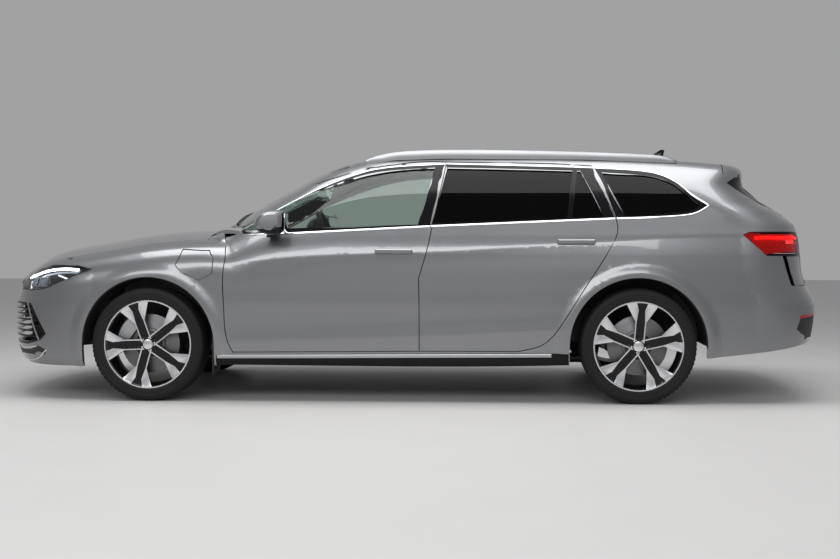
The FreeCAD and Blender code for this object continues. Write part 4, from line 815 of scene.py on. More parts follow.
def dressed(obj, node, *materials, slot="paint"):
    """Put a piece in its frame node's place, with its finish and its body."""
    wear(obj, *materials)
    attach(obj, body_of(node))
    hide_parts(node)
    return obj


def smooth_path(points, spacing):
    """A smooth path through places, at even steps."""
    points = np.array(points, float)
    if len(points) < 3:
        points = np.stack([points[0], points.mean(0), points[-1]])
    run = np.vstack([2 * points[0] - points[1], points, 2 * points[-1] - points[-2]])
    t = np.linspace(0, 1, PATH_SAMPLES, endpoint=False)[:, None]
    found = []
    for a, b, c, d in zip(run, run[1:], run[2:], run[3:]):
        found.append(0.5 * (2 * b + (c - a) * t + (2 * a - 5 * b + 4 * c - d) * t ** 2
                            + (3 * b - a - 3 * c + d) * t ** 3))
    dense = np.vstack(found + [points[-1:]])
    gone = np.concatenate([[0], np.cumsum(np.linalg.norm(np.diff(dense, axis=0), axis=1))])
    places = np.linspace(0, gone[-1], max(3, int(round(gone[-1] / spacing)) + 1))
    return np.stack([np.interp(places, gone, dense[:, k]) for k in range(dense.shape[1])], 1)


def inside(points, loops):
    """Whether flat places lie within the first loop and outside the others."""
    odd = np.zeros(len(points), bool)
    for loop in loops:
        loop = np.asarray(loop)
        ahead = np.roll(loop, -1, axis=0)
        for (x0, y0), (x1, y1) in zip(loop, ahead):
            if y0 == y1:
                continue
            spans = (points[:, 1] >= min(y0, y1)) & (points[:, 1] < max(y0, y1))
            at = x0 + (points[:, 1] - y0) * (x1 - x0) / (y1 - y0)
            odd ^= spans & (points[:, 0] < at)
    return odd


def new_mesh(name, points, faces):
    mesh = bpy.data.meshes.new(name)
    mesh.from_pydata([tuple(p) for p in points], [], faces)
    mesh.validate()
    obj = bpy.data.objects.new(name, mesh)
    bpy.context.scene.collection.objects.link(obj)
    shaded(obj)
    return obj


def sheet(name, turn, loops, out=0.7 * MM, depth=2.5 * MM, spacing=26 * MM, hand=1, relief=True):
    """A thin trim piece that lies on the skin inside the given outlines."""
    loops = [np.asarray(loop, float) for loop in loops]
    verts = [tuple(p) for loop in loops for p in loop]
    edges = []
    for loop in loops:
        first = len(edges)
        edges += [(first + i, first + (i + 1) % len(loop)) for i in range(len(loop))]
    low, high = loops[0].min(0), loops[0].max(0)
    grid = np.stack(np.meshgrid(np.arange(low[0] + spacing / 2, high[0], spacing),
                                np.arange(low[1] + spacing / 2, high[1], spacing)), -1).reshape(-1, 2)
    grid = grid[inside(grid, loops)] if len(grid) else grid
    if len(grid):
        rim = np.vstack(loops)
        apart = np.linalg.norm(grid[:, None] - rim[None], axis=2).min(1)
        grid = grid[apart > 0.4 * spacing]
    verts += [tuple(p) for p in grid]
    flat, _, faces = delaunay_2d_cdt([Vector(v) for v in verts], edges, [], 0, 1e-7)[:3]
    flat = np.array([v[:] for v in flat])
    middles = np.array([flat[list(f)].mean(0) for f in faces])
    faces = [tuple(f) for f, kept in zip(faces, inside(middles, loops)) if kept]
    top = mapped(flat, turn, out, relief)
    under = mapped(flat, turn, out - depth, relief)
    outward, _ = facing(turn)
    fixed = []
    for face in faces:
        a, b, c = (top[i] for i in face[:3])
        fixed.append(face if np.dot(np.cross(b - a, c - a), outward) > 0 else face[::-1])
    count = {}
    for face in fixed:
        for i, start in enumerate(face):
            count[(start, face[(i + 1) % len(face)])] = True
    walls = [(b, a, a + len(flat), b + len(flat)) for a, b in count if (b, a) not in count]
    faces = fixed + walls + [tuple(i + len(flat) for i in reversed(f)) for f in fixed]
    points = np.vstack([top, under])
    if hand < 0:
        points = points * np.array([1, -1, 1])
        faces = [f[::-1] for f in faces]
    obj = new_mesh(name, points, faces)
    ways = skin_normals(points[:len(flat)] * np.array([1, hand, 1]), -out, relief) * np.array([1, hand, 1])
    mesh = obj.data
    normals = np.zeros((len(mesh.loops), 3))
    for polygon in mesh.polygons:
        if max(polygon.vertices) < len(flat):
            for loop in polygon.loop_indices:
                normals[loop] = ways[mesh.loops[loop].vertex_index]
    mesh.normals_split_custom_set(normals.tolist())
    return obj


# Section of a raised bar, as shares of its width and height, and how deep its foot sits in the skin
BAR_ROOT = 1.5 * MM
ROUND_BAR = ((-0.5, 0.0), (-0.44, 0.55), (-0.22, 0.95), (0.22, 0.95), (0.44, 0.55), (0.5, 0.0))


def strip(name, guide, width, height, hand=1, spacing=18 * MM, relief=True, out=0.0):
    """A raised bar along a line on the skin, on one side of the car."""
    centre = on_body(smooth_path(guide, spacing), 0.0, relief)
    centre = on_body(smooth_path(centre, spacing), 0.0, relief)
    ahead = np.gradient(centre, axis=0)
    ahead /= np.linalg.norm(ahead, axis=1, keepdims=True)
    _, up = body_distance(centre, 0.0, relief)
    side = np.cross(up, ahead)
    side /= np.linalg.norm(side, axis=1, keepdims=True)
    rows = []
    for across, rise in ROUND_BAR:
        row = on_body(centre + side * (across * width), 0.0, relief)
        rows.append(row + up * (out + (rise * height if rise else -BAR_ROOT)))
    wide = len(rows)
    points = np.stack(rows, 1).reshape(-1, 3)
    faces = []
    for i in range(len(centre) - 1):
        for j in range(wide):
            k = (j + 1) % wide
            faces.append((i * wide + j, i * wide + k, (i + 1) * wide + k, (i + 1) * wide + j))
    faces.append(tuple(range(wide))[::-1])
    faces.append(tuple(range((len(centre) - 1) * wide, len(centre) * wide)))
    if hand < 0:
        points = points * np.array([1, -1, 1])
    obj = new_mesh(name, points, faces)
    merged(obj, BAR_MERGE)
    return obj


def box(name, low, high, bevel=0.0, segments=2):
    """A block between two corners, with rounded edges."""
    low, high = np.array(low), np.array(high)
    bpy.ops.object.select_all(action="DESELECT")
    bpy.ops.mesh.primitive_cube_add(size=1, location=tuple((low + high) / 2))
    obj = bpy.context.object
    obj.name = name
    obj.scale = tuple(high - low)
    bpy.ops.object.transform_apply(location=True, rotation=True, scale=True)
    if bevel:
        rounded(obj, bevel, segments)
    return obj


def on_side(low, high, hand):
    """Both corners of a block on the right-hand side, or of its mirror image."""
    if hand > 0:
        return low, high
    return (low[0], -high[1], low[2]), (high[0], -low[1], high[2])


def rounded(obj, width, segments=2, angle=40):
    """Round the edges with an applied bevel."""
    only(obj)
    bevel = obj.modifiers.new("edges", "BEVEL")
    bevel.width = width
    bevel.segments = segments
    bevel.limit_method = "ANGLE"
    bevel.angle_limit = math.radians(angle)
    bpy.ops.object.modifier_apply(modifier="edges")
    shaded(obj)
    return obj


def turned(name, profile, place, steps):
    """A closed outline of (radius, across) places spun about the wheel's axle."""
    bpy.ops.object.select_all(action="DESELECT")
    bpy.ops.mesh.primitive_circle_add(vertices=len(profile), radius=1.0, location=(0, 0, 0))
    obj = bpy.context.object
    obj.name = name
    for vert, (radius, across) in zip(obj.data.vertices, profile):
        vert.co = (place[0] + radius, place[1] + across, place[2])
    bpy.ops.object.mode_set(mode="EDIT")
    bpy.ops.mesh.select_all(action="SELECT")
    bpy.ops.mesh.spin(steps=steps, angle=2 * math.pi, center=place, axis=(0, 1, 0))
    bpy.ops.object.mode_set(mode="OBJECT")
    merged(obj, SPIN_MERGE)
    shaded(obj)
    return obj


def off_axle(place, axle):
    """Distance from a wheel's axle in the side view."""
    return math.hypot(place[0] - axle, place[2] - TYRE_RADIUS)


def mounted(obj, body, material):
    """An added piece that rides on one body."""
    wear(obj, material)
    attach(obj, body)
    return obj


def finished(node, finish, slot, bevel):
    """A copy of a frame node with eased edges and its own finish."""
    obj = rounded(node_copy(node, node + "_piece"), bevel)
    return dressed(obj, node, finish, slot=slot)


def side_run(shares):
    return [(place_x(a), b * ROOF_HEIGHT) for a, b in shares]


def joined(*runs):
    """One closed outline from runs that follow each other."""
    found = []
    for points in runs:
        for point in points:
            if not found or math.dist(found[-1], point) > MM:
                found.append(tuple(point))
    if math.dist(found[0], found[-1]) < MM:
        found.pop()
    return np.array(found)


def outline_box(start, end, low, high):
    return [(start, low), (end, low), (end, high), (start, high)]


def shrunk(loop, margin):
    """An outline drawn in a little towards its middle."""
    loop = np.asarray(loop)
    middle = (loop.min(0) + loop.max(0)) / 2
    half = (loop.max(0) - loop.min(0)) / 2
    return middle + (loop - middle) * (1 - margin / half)


def smoothed(points):
    return smooth_path(points, GUIDE_STEP)


def side_guide(points):
    """Places in the side view, put on the skin."""
    return mapped(smoothed(points), 0.0)


def pad(name, low, high, edge, crown, axis=2, sign=1, grooves=(), lean=0.0, pivot=(0, 0, 0), cell=9 * MM):
    """A stuffed pad: rounded, domed, with stitched channels, then tilted about the car's width."""
    obj = box(name, low, high)
    rounded(obj, edge, 4)
    remesh = obj.modifiers.new("cloth", "REMESH")
    remesh.mode = "VOXEL"
    remesh.voxel_size = cell
    bpy.ops.object.modifier_apply(modifier="cloth")
    low, high = np.array(low), np.array(high)
    points = points_of(obj.data)
    share = (points - (low + high) / 2) / ((high - low) / 2)
    across = [i for i in range(3) if i != axis]
    dome = np.clip(1 - share[:, across[0]] ** 2, 0, 1) * np.clip(1 - share[:, across[1]] ** 4, 0, 1)
    front = np.clip(0.5 + 0.5 * share[:, axis] * sign, 0, 1)
    lift = crown * dome
    one, other = points[:, across[0]], points[:, across[1]]
    lift += CREASING * (np.sin(one * CREASE_WAVES[0] + 2 * np.sin(other * CREASE_WAVES[1]))
                        * np.sin(other * CREASE_WAVES[2])) * dome
    for way, place, width, depth in grooves:
        lift -= depth * np.exp(-((points[:, way] - place) / width) ** 2)
    points[:, axis] += sign * lift * front
    turn = math.radians(lean)
    x, z = points[:, 0] - pivot[0], points[:, 2] - pivot[2]
    points[:, 0] = pivot[0] + x * math.cos(turn) + z * math.sin(turn)
    points[:, 2] = pivot[2] - x * math.sin(turn) + z * math.cos(turn)
    set_points(obj.data, points)
    only(obj)
    bpy.ops.object.shade_smooth()
    return obj


def padded_piece(obj, node, material):
    """A pad in its frame node's place."""
    wear(obj, material)
    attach(obj, body_of(node))
    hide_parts(node)
    return obj


# Panes: how far below the skin they start and how thick they are
PANE_LAYERS = (9 * MM, 5 * MM)
SCREEN_LAYERS = (0.3 * MM, 9.7 * MM)
PANE_REACH = 12 * MM
# Edges of the side windows' glass, as stations and shares of the roof's height
GLASS_TOP_FRONT = ((0.192, 0.688), (0.267, 0.764), (0.339, 0.830), (0.421, 0.890), (0.488, 0.917),
                   (0.587, 0.930))
GLASS_LOW_FRONT = ((0.555, 0.697), (0.3, 0.683), (0.192, 0.676))
GLASS_TOP_REAR = ((0.612, 0.930), (0.741, 0.924), (0.888, 0.914))
GLASS_LOW_REAR = ((0.932, 0.725), (0.79, 0.716), (0.585, 0.702))
QUARTER_TOP = ((0.931, 0.908), (0.997, 0.899), (1.115, 0.886), (1.2, 0.856), (1.27, 0.81),
               (1.33, 0.772))
QUARTER_LOW = ((1.29, 0.752), (1.2, 0.742), (0.975, 0.727))
# Chrome line round the side windows: places along the car and heights
LINE_TOP_FRONT = ((-0.954, 0.998), (-0.704, 1.135), (-0.511, 1.236), (-0.284, 1.327), (-0.095, 1.370),
                  (0.2465, 1.391))
LINE_LOW_FRONT = ((0.1665, 1.0187), (-0.618, 0.980), (-0.930, 0.970))
LINE_TOP_REAR = ((0.2535, 1.392), (0.627, 1.381), (1.005, 1.369), (1.119, 1.364))
LINE_LOW_REAR = ((1.2325, 1.0633), (0.768, 1.044), (0.173, 1.0193))
LINE_TOP_QUARTER = ((1.1275, 1.3633), (1.359, 1.349), (1.492, 1.327), (1.593, 1.279), (1.679, 1.205),
                    (1.770, 1.144))
LINE_LOW_QUARTER = ((1.776, 1.138), (1.699, 1.095), (1.601, 1.078), (1.42, 1.0685), (1.2415, 1.0637))
# Upright bar that splits the rear door's window
WINDOW_BAR = ((1.000, 1.364), (1.028, 1.364), (0.985, 1.060), (0.957, 1.060))
# Lamp outlines as seen from the corners: places across the view and heights
HEADLAMP_LINE = ((-1.089, 0.723), (-1.052, 0.759), (-0.923, 0.785), (-0.748, 0.793), (-0.648, 0.776),
                 (-0.745, 0.711), (-0.876, 0.651), (-1.039, 0.635), (-1.20, 0.640), (-1.20, 0.690))
HEADLAMP_DEPTH = 30 * MM
HEADLAMP_BARS = (
    ("strip", white_glow, ((-2.262, 0.685, 0.724), (-2.165, 0.764, 0.752), (-2.075, 0.811, 0.770),
                           (-1.979, 0.845, 0.777), (-1.900, 0.873, 0.774)), 15 * MM, 6 * MM, -13 * MM),
    ("tick", pale_white, ((-2.033, 0.864, 0.742), (-1.960, 0.884, 0.712)), 9 * MM, 5 * MM, -14 * MM),
    ("edge", pale_white, ((-2.237, 0.744, 0.702), (-2.233, 0.755, 0.652)), 8 * MM, 5 * MM, -14 * MM))
MODULE_STARTS = (-1.052, -0.974)
MODULE_WIDTH = 62 * MM
MODULE_HEIGHTS = (0.664, 0.716)
TAIL_LAMP_LINE = ((0.848, 0.853), (0.775, 0.966), (0.809, 0.984))
TAIL_LAMP_END = 646 * MM
TAIL_BANDS = (("band", 0.822, 0.957, 17 * MM, red_glow), ("glow", 0.950, 0.925, 24 * MM, soft_red),
              ("line", 0.870, 0.864, 6 * MM, chrome))
BLOCK_PITCH = 28 * MM
BLOCK_WIDTH = 21 * MM
BLOCK_HEIGHTS = (0.918, 0.938)
REFLECTOR_LINE = ((2.290, 0.825, 0.498), (2.345, 0.770, 0.503), (2.390, 0.700, 0.508))

# Black blade beside the rear window, the corner vents and the panels of the chin
GATE_BLADE = ((0.905, 1.262), (0.884, 1.275), (0.955, 1.304), (1.039, 1.332), (1.090, 1.255),
              (1.150, 1.170), (1.205, 1.094), (1.190, 1.082), (1.085, 1.140), (0.975, 1.210))
REAR_VENT = ((1.031, 0.470), (1.050, 0.508), (1.215, 0.516), (1.215, 0.372), (1.110, 0.366),
             (1.015, 0.430))
CHIN_PANEL = ((-1.26, 0.300), (-0.955, 0.312), (-0.905, 0.292), (-0.912, 0.262), (-1.26, 0.245))
# Painted corner of the body between the tail lamp, the tailgate and the bumper
CORNER_PANEL = ((0.986, 0.8455), (0.995, 0.820), (1.001, 0.800), (1.007, 0.780), (1.013, 0.760),
                (1.020, 0.740), (1.025, 0.720), (1.028, 0.700), (1.031, 0.677), (1.205, 0.677),
                (1.192, 0.695), (1.184, 0.720), (1.180, 0.740), (1.174, 0.760), (1.170, 0.780),
                (1.165, 0.800), (1.162, 0.820), (1.157, 0.8455))

# Sheets on the corners: name, view, outline, stand out, depth, body, finish and slot
CORNER_SHEETS = (
    ("gate_blade_", -45.0, GATE_BLADE, 1.2 * MM, 4 * MM, "rear_gate", gloss_black, "grille_trim"),
    ("rear_vent_", -45.0, REAR_VENT, 0.8 * MM, 3 * MM, "body", satin_black, "grille_trim"),
    ("tail_corner_", -45.0, CORNER_PANEL, 0.0, 3 * MM, "body", paint, "paint"),
    ("chin_panel_", 45.0, CHIN_PANEL, 0.8 * MM, 3 * MM, "body", satin_black, "grille_trim"))
# Bright lines of one side: name, path, width, height and finish
SIDE_LINES = (
    ("intake_line_", ((-2.298, 0.684, 0.293), (-2.245, 0.745, 0.299), (-2.175, 0.800, 0.309)),
     8 * MM, 4 * MM, chrome),
    ("chin_line_", ((-2.30, 0.62, 0.228), (-2.178, 0.776, 0.235), (-2.109, 0.833, 0.289)),
     9 * MM, 4 * MM, chrome),
    ("intake_edge_", ((-2.242, 0.759, 0.569), (-2.21, 0.79, 0.46), (-2.157, 0.814, 0.345)),
     11 * MM, 4 * MM, satin_metal))
SENSOR_LINE = ((-1.962, 0.884, 0.497), (-1.953, 0.886, 0.497), (-1.944, 0.888, 0.497))
SILL_LINE = ((-1.070, 0.2625), (-0.1, 0.2705), (0.866, 0.2785))
PLATE_HALF_WIDTH = 260 * MM
PLATE_HALF_HEIGHT = 56 * MM
# Wipers: name, reach across the car and where they start
WIPERS = (("near", 0.52, -0.56), ("far", 0.50, 0.0))
WIPER_FOOT = -1.035
WIPER_SLANT = 0.06
WIPER_BOW = 0.09
WIPER_LEVEL = -1.02
# Mirrors: the black foot's slanting edge and reach, and the corners of the glass
FOOT_EDGE = (1.008, 0.10, 0.74)
FOOT_REACH = 915 * MM
REARWARD = 0.75
MIRROR_LOW = (-0.6495, 0.93, 0.978)
MIRROR_HIGH = (-0.6465, 1.055, 1.092)
GUARD_LOW = (-1.098, 0.72, 0.158)
GUARD_HIGH = (-1.090, 0.905, 0.375)

# Seats, bench and displays. The leather's soft creasing is a height and three wave numbers a metre.
CREASING = 0.9 * MM
CREASE_WAVES = (61, 23, 47)
SEAT_MIDDLE = 370 * MM
SEAT_HALF_WIDTH = 245 * MM
SEAM_ACROSS = 150 * MM
BENCH_SEAMS = (-0.46, -0.16, 0.16, 0.46)
BENCH_PIVOT = (0.8, 0, 0.5)
BENCH_CELL = 11 * MM
BENCH_RESTS = (-0.33, 0.0, 0.33)
DISPLAYS = (("display_middle", (-0.605, -0.145, 0.845), (-0.590, 0.145, 0.985)),
            ("display_driver", (-0.640, -0.520, 0.905), (-0.626, -0.220, 1.000)))

WHEELS = (("front", "left", FRONT_AXLE, -1), ("front", "right", FRONT_AXLE, 1),
          ("rear", "left", REAR_AXLE, -1), ("rear", "right", REAR_AXLE, 1))
SIDES = (("left", -1), ("right", 1))

PAINTED = ("body_shell", "front_fenders", "front_bumper", "rear_bumper", "hood", "tailgate",
           "charge_flap", "door_front_left", "door_front_right", "door_rear_left", "door_rear_right")


# Property groups


class EstatePaint(bpy.types.PropertyGroup):
    """Colour of the body."""

    colour: bpy.props.FloatVectorProperty(
        name="Paint colour", description="Base colour of the metallic paint", subtype="COLOR",
        size=3, min=0.0, max=1.0, default=(0.225, 0.23, 0.24))


class EstateWheels(bpy.types.PropertyGroup):
    """Tyre blocks and rim edges."""

    steps: bpy.props.IntProperty(
        name="Steps", description="Steps round each tyre", default=216, min=36)
    block_depth: bpy.props.FloatProperty(
        name="Block depth", description="Depth of the gaps between shoulder blocks", unit="LENGTH",
        default=4 * MM)
    edge: bpy.props.FloatProperty(
        name="Rim edge", description="Width of the rounded rim edges", unit="LENGTH", default=1.2 * MM)


class EstateStage(bpy.types.PropertyGroup):
    """Camera, floor and light."""

    lens: bpy.props.FloatProperty(
        name="Lens", description="Focal length on a 36 mm sensor", default=54.09, min=10.0)
    yaw: bpy.props.FloatProperty(
        name="Yaw", description="Turn of the camera about the vertical", subtype="ANGLE",
        default=math.radians(3.226))
    pitch: bpy.props.FloatProperty(
        name="Pitch", description="How far the camera looks down", subtype="ANGLE",
        default=math.radians(1.962))
    floor_colour: bpy.props.FloatVectorProperty(
        name="Floor colour", description="Colour of the floor", subtype="COLOR",
        size=3, min=0.0, max=1.0, default=(0.62, 0.61, 0.60))
    backdrop_colour: bpy.props.FloatVectorProperty(
        name="Backdrop colour", description="Colour seen behind the car", subtype="COLOR",
        size=3, min=0.0, max=1.0, default=(0.36, 0.36, 0.365))


# Operators


class ESTATE_OT_panels(bpy.types.Operator):
    """Smooth painted panels over the frame's body"""

    bl_idname = "estate.panels"
    bl_label = "Painted panels"

    def execute(self, context):
        for node in PAINTED:
            piece = skinned(node, node + "_skin")
            dressed(piece, node, paint(), cabin_black())
        return {"FINISHED"}


class ESTATE_OT_glass(bpy.types.Operator):
    """Windows, with clear glass in front and dark glass behind"""

    bl_idname = "estate.glass"
    bl_label = "Glass"

    def execute(self, context):
        for node in ("window_front_left", "window_front_right", "window_rear_left", "window_rear_right",
                     "quarter_windows", "tailgate_window", "windscreen"):
            clear = node.startswith(("window_front", "windscreen"))
            glass, slot = (clear_glass, "glass") if clear else (dark_glass, "dark_glass")
            inset, thickness = SCREEN_LAYERS if node == "windscreen" else PANE_LAYERS
            piece = skinned(node, node + "_pane", inset, thickness, relief=False, reach=PANE_REACH)
            dressed(piece, node, glass(), slot=slot)
        return {"FINISHED"}


class ESTATE_OT_surrounds(bpy.types.Operator):
    """Black frames and a chrome line round the side windows"""

    bl_idname = "estate.surrounds"
    bl_label = "Window surrounds"

    def execute(self, context):
        glass = [joined(smoothed(side_run(top)), side_run(low)) for top, low in (
            (GLASS_TOP_FRONT, GLASS_LOW_FRONT), (GLASS_TOP_REAR, GLASS_LOW_REAR),
            (QUARTER_TOP, QUARTER_LOW))]
        lines = ((LINE_TOP_FRONT, LINE_LOW_FRONT), (LINE_TOP_REAR, LINE_LOW_REAR),
                 (LINE_TOP_QUARTER, LINE_LOW_QUARTER))
        for side, hand in SIDES:
            bodies = ("front_door_" + side, "rear_door_" + side, "body")
            for part, body, window, (top, low) in zip(("front", "rear", "quarter"), bodies, glass, lines):
                outline = joined(smoothed(top), smoothed(low))
                frame_piece = sheet("window_frame_%s_%s" % (part, side), 0.0,
                                    [outline, shrunk(window, 1.5 * MM)], hand=hand)
                mounted(frame_piece, body, gloss_black())
                for edge, run in (("top", top), ("belt", low)):
                    bar = strip("chrome_%s_%s_%s" % (edge, part, side), side_guide(run), 11 * MM, 3.2 * MM,
                                hand)
                    mounted(bar, body, chrome())
            bar = sheet("window_bar_" + side, 0.0, [WINDOW_BAR], out=0.3 * MM, depth=8 * MM, hand=hand,
                        relief=False)
            mounted(bar, "rear_door_" + side, gloss_black())
        return {"FINISHED"}


class ESTATE_OT_wheels(bpy.types.Operator):
    """Tyres with grooves and blocks, two-tone rims, discs and calipers"""

    bl_idname = "estate.wheels"
    bl_label = "Wheels"

    def execute(self, context):
        settings = context.scene.estate_wheels
        for end, side, axle, hand in WHEELS:
            key = end + "_" + side
            self.tyre(key, axle, hand, settings)
            rim = node_copy("rim_" + key, "rim_%s_piece" % key)
            rounded(rim, settings.edge)

            def bright(centre, normal):
                depth = centre[1] * hand - HALF_TRACK
                face = normal[1] * hand > 0.8 and depth > RIM_FACE_DEPTH
                return face or (off_axle(centre, axle) > RIM_LIP_RADIUS and depth > RIM_LIP_DEPTH)

            two_tone(rim, bright)
            dressed(rim, "rim_" + key, dark_alloy(), machined(), slot="alloy")
            finished("brake_disc_" + key, steel(), "iron", 1.0 * MM)
        for side, hand in SIDES:
            node = "front_knuckle_" + side
            piece = node_copy(node, node + "_piece")
            rounded(piece, 2.0 * MM)
            two_tone(piece, lambda centre, normal: off_axle(centre, FRONT_AXLE) > CALIPER_RADIUS
                     and centre[0] > FRONT_AXLE - CALIPER_REACH)
            dressed(piece, node, cast_metal(), caliper_silver(), slot="iron")
        return {"FINISHED"}

    def tyre(self, key, axle, hand, settings):
        outline = [(r * MM, y * MM) for r, y in TYRE_PROFILE]
        outline += [(r, -y) for r, y in reversed(outline[1:])]
        place = (axle, hand * HALF_TRACK, TYRE_RADIUS)
        obj = turned("tyre_%s_piece" % key, outline, place, settings.steps)
        points = points_of(obj.data)
        away = points - np.array(place)
        radius = np.hypot(away[:, 0], away[:, 2])
        turn = np.degrees(np.arctan2(away[:, 2], away[:, 0])) / 360 * settings.steps
        notch = np.round(turn).astype(int) % STEPS_A_BLOCK == 0
        notch &= (radius > BLOCK_RADIUS) & (np.abs(away[:, 1]) > BLOCK_ACROSS)
        sink = np.where(notch, settings.block_depth / radius, 0.0)
        points[:, 0] -= away[:, 0] * sink
        points[:, 2] -= away[:, 2] * sink
        set_points(obj.data, points)
        dressed(obj, "tyre_" + key, tyre_rubber(), slot="tyre")


class ESTATE_OT_headlamps(bpy.types.Operator):
    """Recessed headlamps with a glowing strip under a clear cover"""

    bl_idname = "estate.headlamps"
    bl_label = "Headlamps"

    def execute(self, context):
        loop = np.array(HEADLAMP_LINE)
        piece = skinned("headlamps", "headlamps_skin", hole=(45.0, loop, HEADLAMP_DEPTH + 6 * MM))
        dressed(piece, "headlamps", paint(), lamp_black(), slot="lamp_clear")
        for side, hand in SIDES:
            back = sheet("headlamp_back_" + side, 45.0, [shrunk(loop, -2 * MM)], out=-HEADLAMP_DEPTH,
                         depth=3 * MM, hand=hand)
            mounted(back, "body", lamp_black())
            cover = sheet("headlamp_cover_" + side, 45.0, [loop], out=0.2 * MM, depth=2.5 * MM, hand=hand)
            mounted(cover, "body", clear_cover())
            for name, material, guide, width, height, out in HEADLAMP_BARS:
                bar = strip("headlamp_%s_%s" % (name, side), guide, width, height, hand, out=out)
                mounted(bar, "body", material())
            for i, start in enumerate(MODULE_STARTS):
                corner = outline_box(start, start + MODULE_WIDTH, *MODULE_HEIGHTS)
                holder = sheet("headlamp_module_%d_%s" % (i, side), 45.0, [corner], out=-9 * MM,
                               depth=18 * MM, hand=hand)
                mounted(holder, "body", satin_metal())
                eye = sheet("headlamp_eye_%d_%s" % (i, side), 45.0, [shrunk(corner, 7 * MM)], out=-7 * MM,
                            depth=3 * MM, hand=hand)
                mounted(eye, "body", lens_glass())
        return {"FINISHED"}


class ESTATE_OT_tail_lamps(bpy.types.Operator):
    """Tail lamps lit in bands behind a smoked red cover, and the bumper reflectors"""

    bl_idname = "estate.tail_lamps"
    bl_label = "Tail lamps"

    def execute(self, context):
        edge = mapped([(-TAIL_LAMP_END, 0.984), (-TAIL_LAMP_END, 0.853)], -90.0)
        ends = [((x - y) / math.sqrt(2), z) for x, y, z in edge]
        loop = joined(TAIL_LAMP_LINE, ends)
        piece = skinned("tail_lamps", "tail_lamps_skin", hole=(-45.0, shrunk(loop, 5 * MM), 24 * MM))
        dressed(piece, "tail_lamps", gloss_black(), lamp_black(), slot="lamp_red")
        stop = ends[0][0] - 10 * MM
        for side, hand in SIDES:
            back = sheet("tail_lamp_back_" + side, -45.0, [shrunk(loop, 3 * MM)], out=-22 * MM, depth=3 * MM,
                         hand=hand)
            mounted(back, "body", soft_red())
            cover = sheet("tail_lamp_cover_" + side, -45.0, [shrunk(loop, 4.5 * MM)], out=0.4 * MM,
                          depth=2.5 * MM, hand=hand)
            mounted(cover, "body", red_cover())
            for name, start, height, width, material in TAIL_BANDS:
                guide = mapped([(start, height), ((start + stop) / 2, height), (stop, height)], -45.0)
                bar = strip("tail_lamp_%s_%s" % (name, side), guide, width, 4 * MM, hand, out=-11 * MM)
                mounted(bar, "body", material())
            for i in range(3):
                start = 1.0 + i * BLOCK_PITCH
                corner = outline_box(start, start + BLOCK_WIDTH, *BLOCK_HEIGHTS)
                block = sheet("tail_lamp_block_%d_%s" % (i, side), -45.0, [corner], out=-4 * MM,
                              depth=3 * MM, hand=hand)
                mounted(block, "body", pale_red())
            mounted(strip("reflector_" + side, REFLECTOR_LINE, 14 * MM, 3 * MM, hand), "body",
                    reflector_red())
        return {"FINISHED"}


class ESTATE_OT_trim(bpy.types.Operator):
    """Grille, bright strips, sills, rails, mirrors, blank plates, wipers and mudguards"""

    bl_idname = "estate.trim"
    bl_label = "Outside trim"

    def execute(self, context):
        finished("front_grille", gloss_black(), "grille_trim", 1.5 * MM)
        finished("roof_rails", satin_metal(), "bright_rail", 5 * MM)
        finished("roof_fin", gloss_black(), "grille_trim", 3 * MM)
        finished("sill_covers", gloss_black(), "grille_trim", 2 * MM)
        finished("cowl_panel", satin_black(), "grille_trim", 2 * MM)
        for side, hand in SIDES:
            self.side(side, hand)
        for name, turn, body, height in (("front", 90.0, "body", 0.50), ("rear", -90.0, "rear_gate", 0.755)):
            corners = outline_box(-PLATE_HALF_WIDTH, PLATE_HALF_WIDTH, height - PLATE_HALF_HEIGHT,
                                  height + PLATE_HALF_HEIGHT)
            plate = sheet("plate_" + name, turn, [corners], out=5 * MM, depth=8 * MM, spacing=60 * MM)
            mounted(plate, body, plate_white())
        for name, reach, shift in WIPERS:
            places = [(shift + reach * i / 4, i / 4) for i in range(5)]
            guide = [(WIPER_FOOT + WIPER_SLANT * s + WIPER_BOW * y * y, y, float(top_height(WIPER_LEVEL, y)))
                     for y, s in places]
            wiper = strip("wiper_" + name, guide, 13 * MM, 14 * MM, spacing=25 * MM, relief=False)
            mounted(wiper, "body", satin_black())
        for side, hand in SIDES:
            for name, turn, loop, out, depth, body, material, slot in CORNER_SHEETS:
                piece = sheet(name + side, turn, [loop], out=out, depth=depth, hand=hand)
                mounted(piece, body, material())
        return {"FINISHED"}

    def side(self, side, hand):
        node = "mirror_" + side
        mirror = node_copy(node, node + "_piece")
        rounded(mirror, 5 * MM, 3, 25)
        height, slope, start = FOOT_EDGE
        two_tone(mirror, lambda centre, normal: centre[2] < height + slope * (centre[0] + start)
                 or abs(centre[1]) < FOOT_REACH or normal[0] > REARWARD)
        dressed(mirror, node, paint(), gloss_black())
        glass = box("mirror_glass_" + side, *on_side(MIRROR_LOW, MIRROR_HIGH, hand), 1.2 * MM)
        mounted(glass, body_of(node), mirror_glass())
        guide = mapped(smoothed(SILL_LINE), 0.0, relief=False)
        line = strip("sill_strip_" + side, guide, 22 * MM, 5 * MM, hand, relief=False)
        mounted(line, "body", satin_metal())
        guard = box("mudguard_" + side, *on_side(GUARD_LOW, GUARD_HIGH, hand), 2 * MM)
        mounted(guard, "body", satin_black())
        for name, path, width, height, material in SIDE_LINES:
            mounted(strip(name + side, path, width, height, hand), "body", material())
        sensor = strip("sensor_" + side, SENSOR_LINE, 18 * MM, 1.5 * MM, hand, spacing=6 * MM)
        mounted(sensor, "body", paint())


